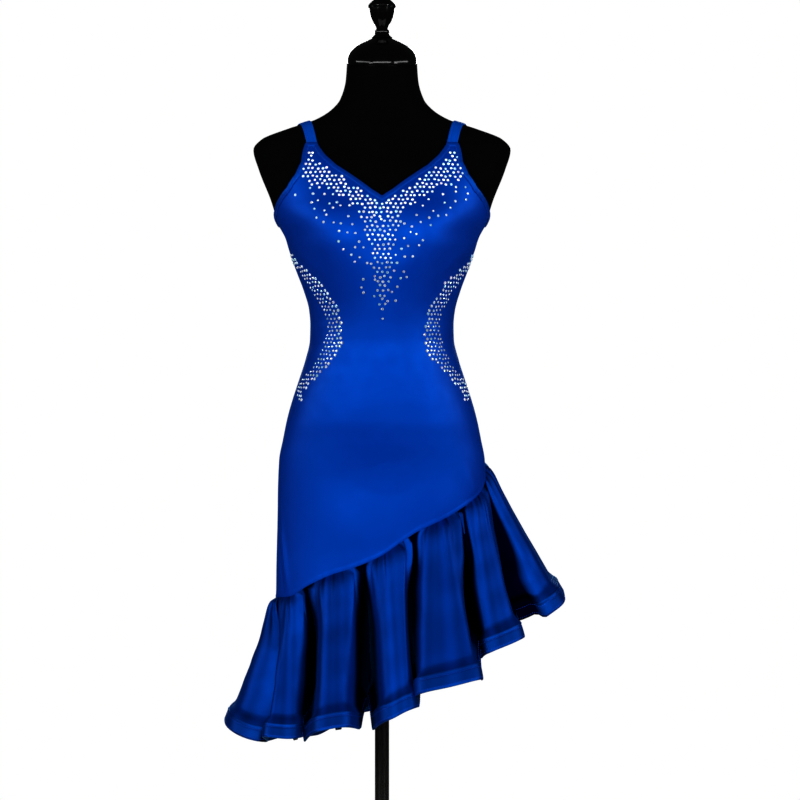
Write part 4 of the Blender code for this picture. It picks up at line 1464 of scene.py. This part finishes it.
    def build(self, finish: bpy.types.Material) -> bpy.types.Object:
        """Makes all stones in one mesh: a low girdle, two rings of facets and a flat table.

        Args:
            finish: The stones' material.

        Returns:
            The piece.
        """
        self.neckline()
        self.drip()
        self.moons()
        self.scattered()
        across, height, size = (np.concatenate(part) for part in
                                (self.across, self.height, self.size))
        turn = np.sign(across) * self.panel.form.turn_at(np.abs(across), height)
        centre = self.panel.surface(turn, height, 0.00005)
        near = np.stack([self.panel.surface(turn + 0.01, height),
                         self.panel.surface(turn, height + 0.001)]) - centre
        normal = unit(np.cross(near[0], near[1]))
        spin = self.dice.uniform(0, 2 * math.pi, len(turn))
        first = unit(near[0])
        second = np.cross(normal, first)
        ray = first * np.cos(spin)[:, None] + second * np.sin(spin)[:, None]
        cross = np.cross(normal, ray)
        around = np.arange(self.sides) * 2 * math.pi / self.sides
        rings = [(1.0, 0.0, 0.0), (1.0, 0.16, 0.0), (0.82, 0.42, 0.5), (0.46, 0.62, 0.0)]
        points = []
        for reach, rise, offset in rings:
            angle = around + offset * 2 * math.pi / self.sides
            flat = ray[:, None] * np.cos(angle)[:, None] + cross[:, None] * np.sin(angle)[:, None]
            points.append(centre[:, None] + size[:, None, None] / 2
                          * (flat * reach + normal[:, None] * rise))
        points = np.stack(points, axis=1)
        one = tube_faces(len(rings), self.sides)
        count = len(rings) * self.sides
        faces = [[corner + count * number for corner in face]
                 for number in range(len(points)) for face in one]
        piece = make_piece("rhinestones", points, faces, finish, sharp=1.0)
        self.paint(piece, len(points), len(one))
        LOG.info("%d stones", len(points))
        return piece

    def paint(self, piece: bpy.types.Object, stones: int, facets: int) -> None:
        """Paints each facet's glint: a stone's own coating tint times a painted highlight level set
        by the stone's place, times a random painted reflection brightness for each facet.

        Args:
            piece: The piece with all stones.
            stones: Number of stones.
            facets: Facets of one stone.
        """
        tints = np.array([(0.92, 0.98, 1.00), (0.74, 0.94, 1.00), (0.50, 0.84, 1.00),
                          (0.90, 0.86, 1.00), (0.80, 0.92, 1.00), (0.64, 0.98, 0.98)])
        pick = self.dice.choice(len(tints), stones, p=[0.38, 0.20, 0.12, 0.08, 0.14, 0.08])
        shine = np.concatenate(self.shine)[:, None]
        # Stones with a weak painted glint are painted darker and greyer, as if in shade.
        shaded_stone_tint = np.array([0.42, 0.55, 0.80])
        # Random painted reflection brightness for each facet.
        painted_facet_glint = self.dice.uniform(0.35, 1.0, (stones, facets, 1))
        colour = np.ones((stones, facets, 4))
        colour[..., :3] = (tints[pick] * (shine + (1 - shine) * shaded_stone_tint * 0.35))[:, None] * painted_facet_glint
        layer = piece.data.attributes.new("glint", "FLOAT_COLOR", "FACE")
        layer.data.foreach_set("color", colour.astype(np.float32).ravel())


# ------------------------------------------------------------------------ the dress
@dataclass
class Dress:
    """The whole garment."""

    form: DressForm

    def build(self) -> None:
        satin = Satin("royal_satin").build()
        # The bindings and hem bands take a darker copy of the satin, painted shade, and the straps
        # a brighter copy, painted light.
        binding = Satin("royal_satin_strip_painted_shade", lit=(0.0, 0.046, 0.340), deep=(0.0, 0.036, 0.300),
                        roughness=0.46).build()
        ribbon_painted_light = Satin("royal_satin_ribbon", lit=(0.0, 0.125, 0.66), deep=(0.0, 0.07, 0.46),
                       roughness=0.44).build()
        seams = Stitches("seam_stitches")
        front, back = Panel(self.form, Side.FRONT), Panel(self.form, Side.BACK)
        front.build(satin)
        back.build(satin)
        self.bind(front, back, binding, seams)
        for sign in (-1, 1):
            Strap(self.form, sign).build(ribbon_painted_light, seams)
        hems = Stitches("hem_stitches", length=0.0024, gap=0.0010)
        flounce = Flounce(self.form, front)
        for side in Side:
            flounce.half(side, satin, binding, hems)
        thread = Thread().build()
        seams.build(thread)
        hems.build(thread)
        Rhinestones(front).build(Crystal().build())

    def bind(self, front: Panel, back: Panel, finish: bpy.types.Material,
             thread: Stitches) -> None:
        """Makes the neck and armhole bindings.

        Args:
            front: Front panel.
            back: Back panel.
            finish: The bindings' material.
            thread: Collects the bindings' stitches.
        """
        maker = Binding(self.form, front, back)
        for panel in (front, back):
            outer = panel.edge_turns[panel.corner + 1]
            line = maker.line(panel, outer, -outer)
            maker.strip(f"neck_binding_{panel.side.value}", Edge(self.form, *line), thread, finish)
        for sign, name in ((1, "right"), (-1, "left")):
            corner = front.edge_turns[front.corner + 1]
            ahead = maker.line(front, corner, math.pi / 2)
            corner = back.edge_turns[back.corner + 1]
            behind = maker.line(back, -math.pi / 2, -corner)
            turn = np.concatenate([ahead[0], behind[0][1:]]) * sign
            height = np.concatenate([ahead[1], behind[1][1:]])
            order = slice(None, None, -sign)
            maker.strip(f"armhole_binding_{name}", Edge(self.form, turn[order], height[order]),
                        thread, finish)


# ------------------------------------------------------------------------ studio
@dataclass
class Studio:
    """Floor, lights and camera."""

    distance: float = 4.0
    eye: float = 0.93
    scale: float = 0.0016
    axis: float = 382.0
    picture: float = 800.0
    floor_half: float = 1.45

    def softbox(self, name: str, place: tuple, aim: tuple, size: tuple, power: float) -> None:
        """Adds a soft light that the camera doesn't see.

        Args:
            name: The light's name.
            place: Where it stands.
            aim: Where it looks.
            size: Its width and height.
            power: Watts.
        """
        lamp = bpy.data.lights.new(name, "AREA")
        lamp.shape = "RECTANGLE"
        lamp.size, lamp.size_y = size
        lamp.energy = power
        light = bpy.data.objects.new(name, lamp)
        light.visible_camera = False
        back = unit(np.array(place, float) - np.array(aim, float))
        right = unit(np.cross([0.0, 0.0, 1.0], back))
        up = np.cross(back, right)
        for row in range(3):
            light.matrix_world[row][:] = (right[row], up[row], back[row], place[row])
        bpy.context.scene.collection.objects.link(light)

    def build(self) -> None:
        """Sets up the floor, the lights, the surroundings and the camera."""
        self.floor()
        middle = (0, 0, 1.0)
        self.softbox("front_strip", (0, -4.4, 2.15), middle, (5.0, 0.7), 168)
        self.softbox("left_strip", (-4.0, -1.7, 2.15), middle, (4.4, 0.7), 84)
        self.softbox("right_strip", (4.0, -1.7, 2.15), middle, (4.4, 0.7), 96)
        self.softbox("left_softbox", (-2.17, -2.87, 1.50), middle, (0.75, 0.12), 15)
        self.softbox("right_softbox", (2.63, -2.46, 1.50), middle, (0.75, 0.12), 16)
        self.softbox("back_strip", (0, 4.4, 2.15), middle, (3.4, 1.2), 80)
        scene = bpy.context.scene
        scene.view_settings.view_transform = "Standard"
        scene.view_settings.gamma = 0.74
        world = bpy.data.worlds.new("white_surroundings")
        world.use_nodes = True
        tree = world.node_tree
        lamp = tree.nodes["Background"]
        lamp.inputs["Color"].default_value = (1, 1, 1, 1)
        seen = tree.nodes.new("ShaderNodeLightPath")
        level = tree.nodes.new("ShaderNodeMapRange")
        level.inputs["To Min"].default_value = 0.03
        level.inputs["To Max"].default_value = 1.0
        tree.links.new(seen.outputs["Is Camera Ray"], level.inputs["Value"])
        tree.links.new(level.outputs["Result"], lamp.inputs["Strength"])
        scene.world = world
        view = bpy.data.cameras.new("front_view")
        view.sensor_width = 36.0
        view.lens = 36.0 * self.distance / self.scale / self.picture
        view.shift_x = (self.picture / 2 - self.axis) / self.picture
        camera = bpy.data.objects.new("front_view", view)
        camera.location = (0, -self.distance, self.eye)
        camera.rotation_euler = (math.pi / 2, 0, 0)
        scene.collection.objects.link(camera)
        scene.camera = camera

    def floor(self) -> None:
        """Makes the pale floor: a thin slab of paper whose top lies at height 0."""
        half, drop = self.floor_half, 0.004
        corners = np.array([(-half, -half), (half, -half), (half, half), (-half, half)])
        points = np.concatenate([np.insert(corners, 2, -0.0002, axis=1),
                                 np.insert(corners, 2, -drop, axis=1)])
        faces = [[0, 1, 2, 3], [7, 6, 5, 4], [0, 4, 5, 1], [1, 5, 6, 2], [2, 6, 7, 3], [3, 7, 4, 0]]
        mesh = bpy.data.meshes.new("floor")
        mesh.from_pydata(points.tolist(), [], faces)
        mesh.materials.append(PaleFloor().build())
        floor = bpy.data.objects.new("floor", mesh)
        bpy.context.scene.collection.objects.link(floor)


def main() -> None:
    """Builds the form, the stand, the dress and the studio, in that order."""
    logging.basicConfig(level=logging.INFO, format="%(name)s: %(message)s")
    form = DressForm()
    form.build(Jersey().build())
    Stand().build(Lacquer().build(), Steel().build())
    Dress(form).build()
    Studio().build()


if __name__ == "__main__":
    main()
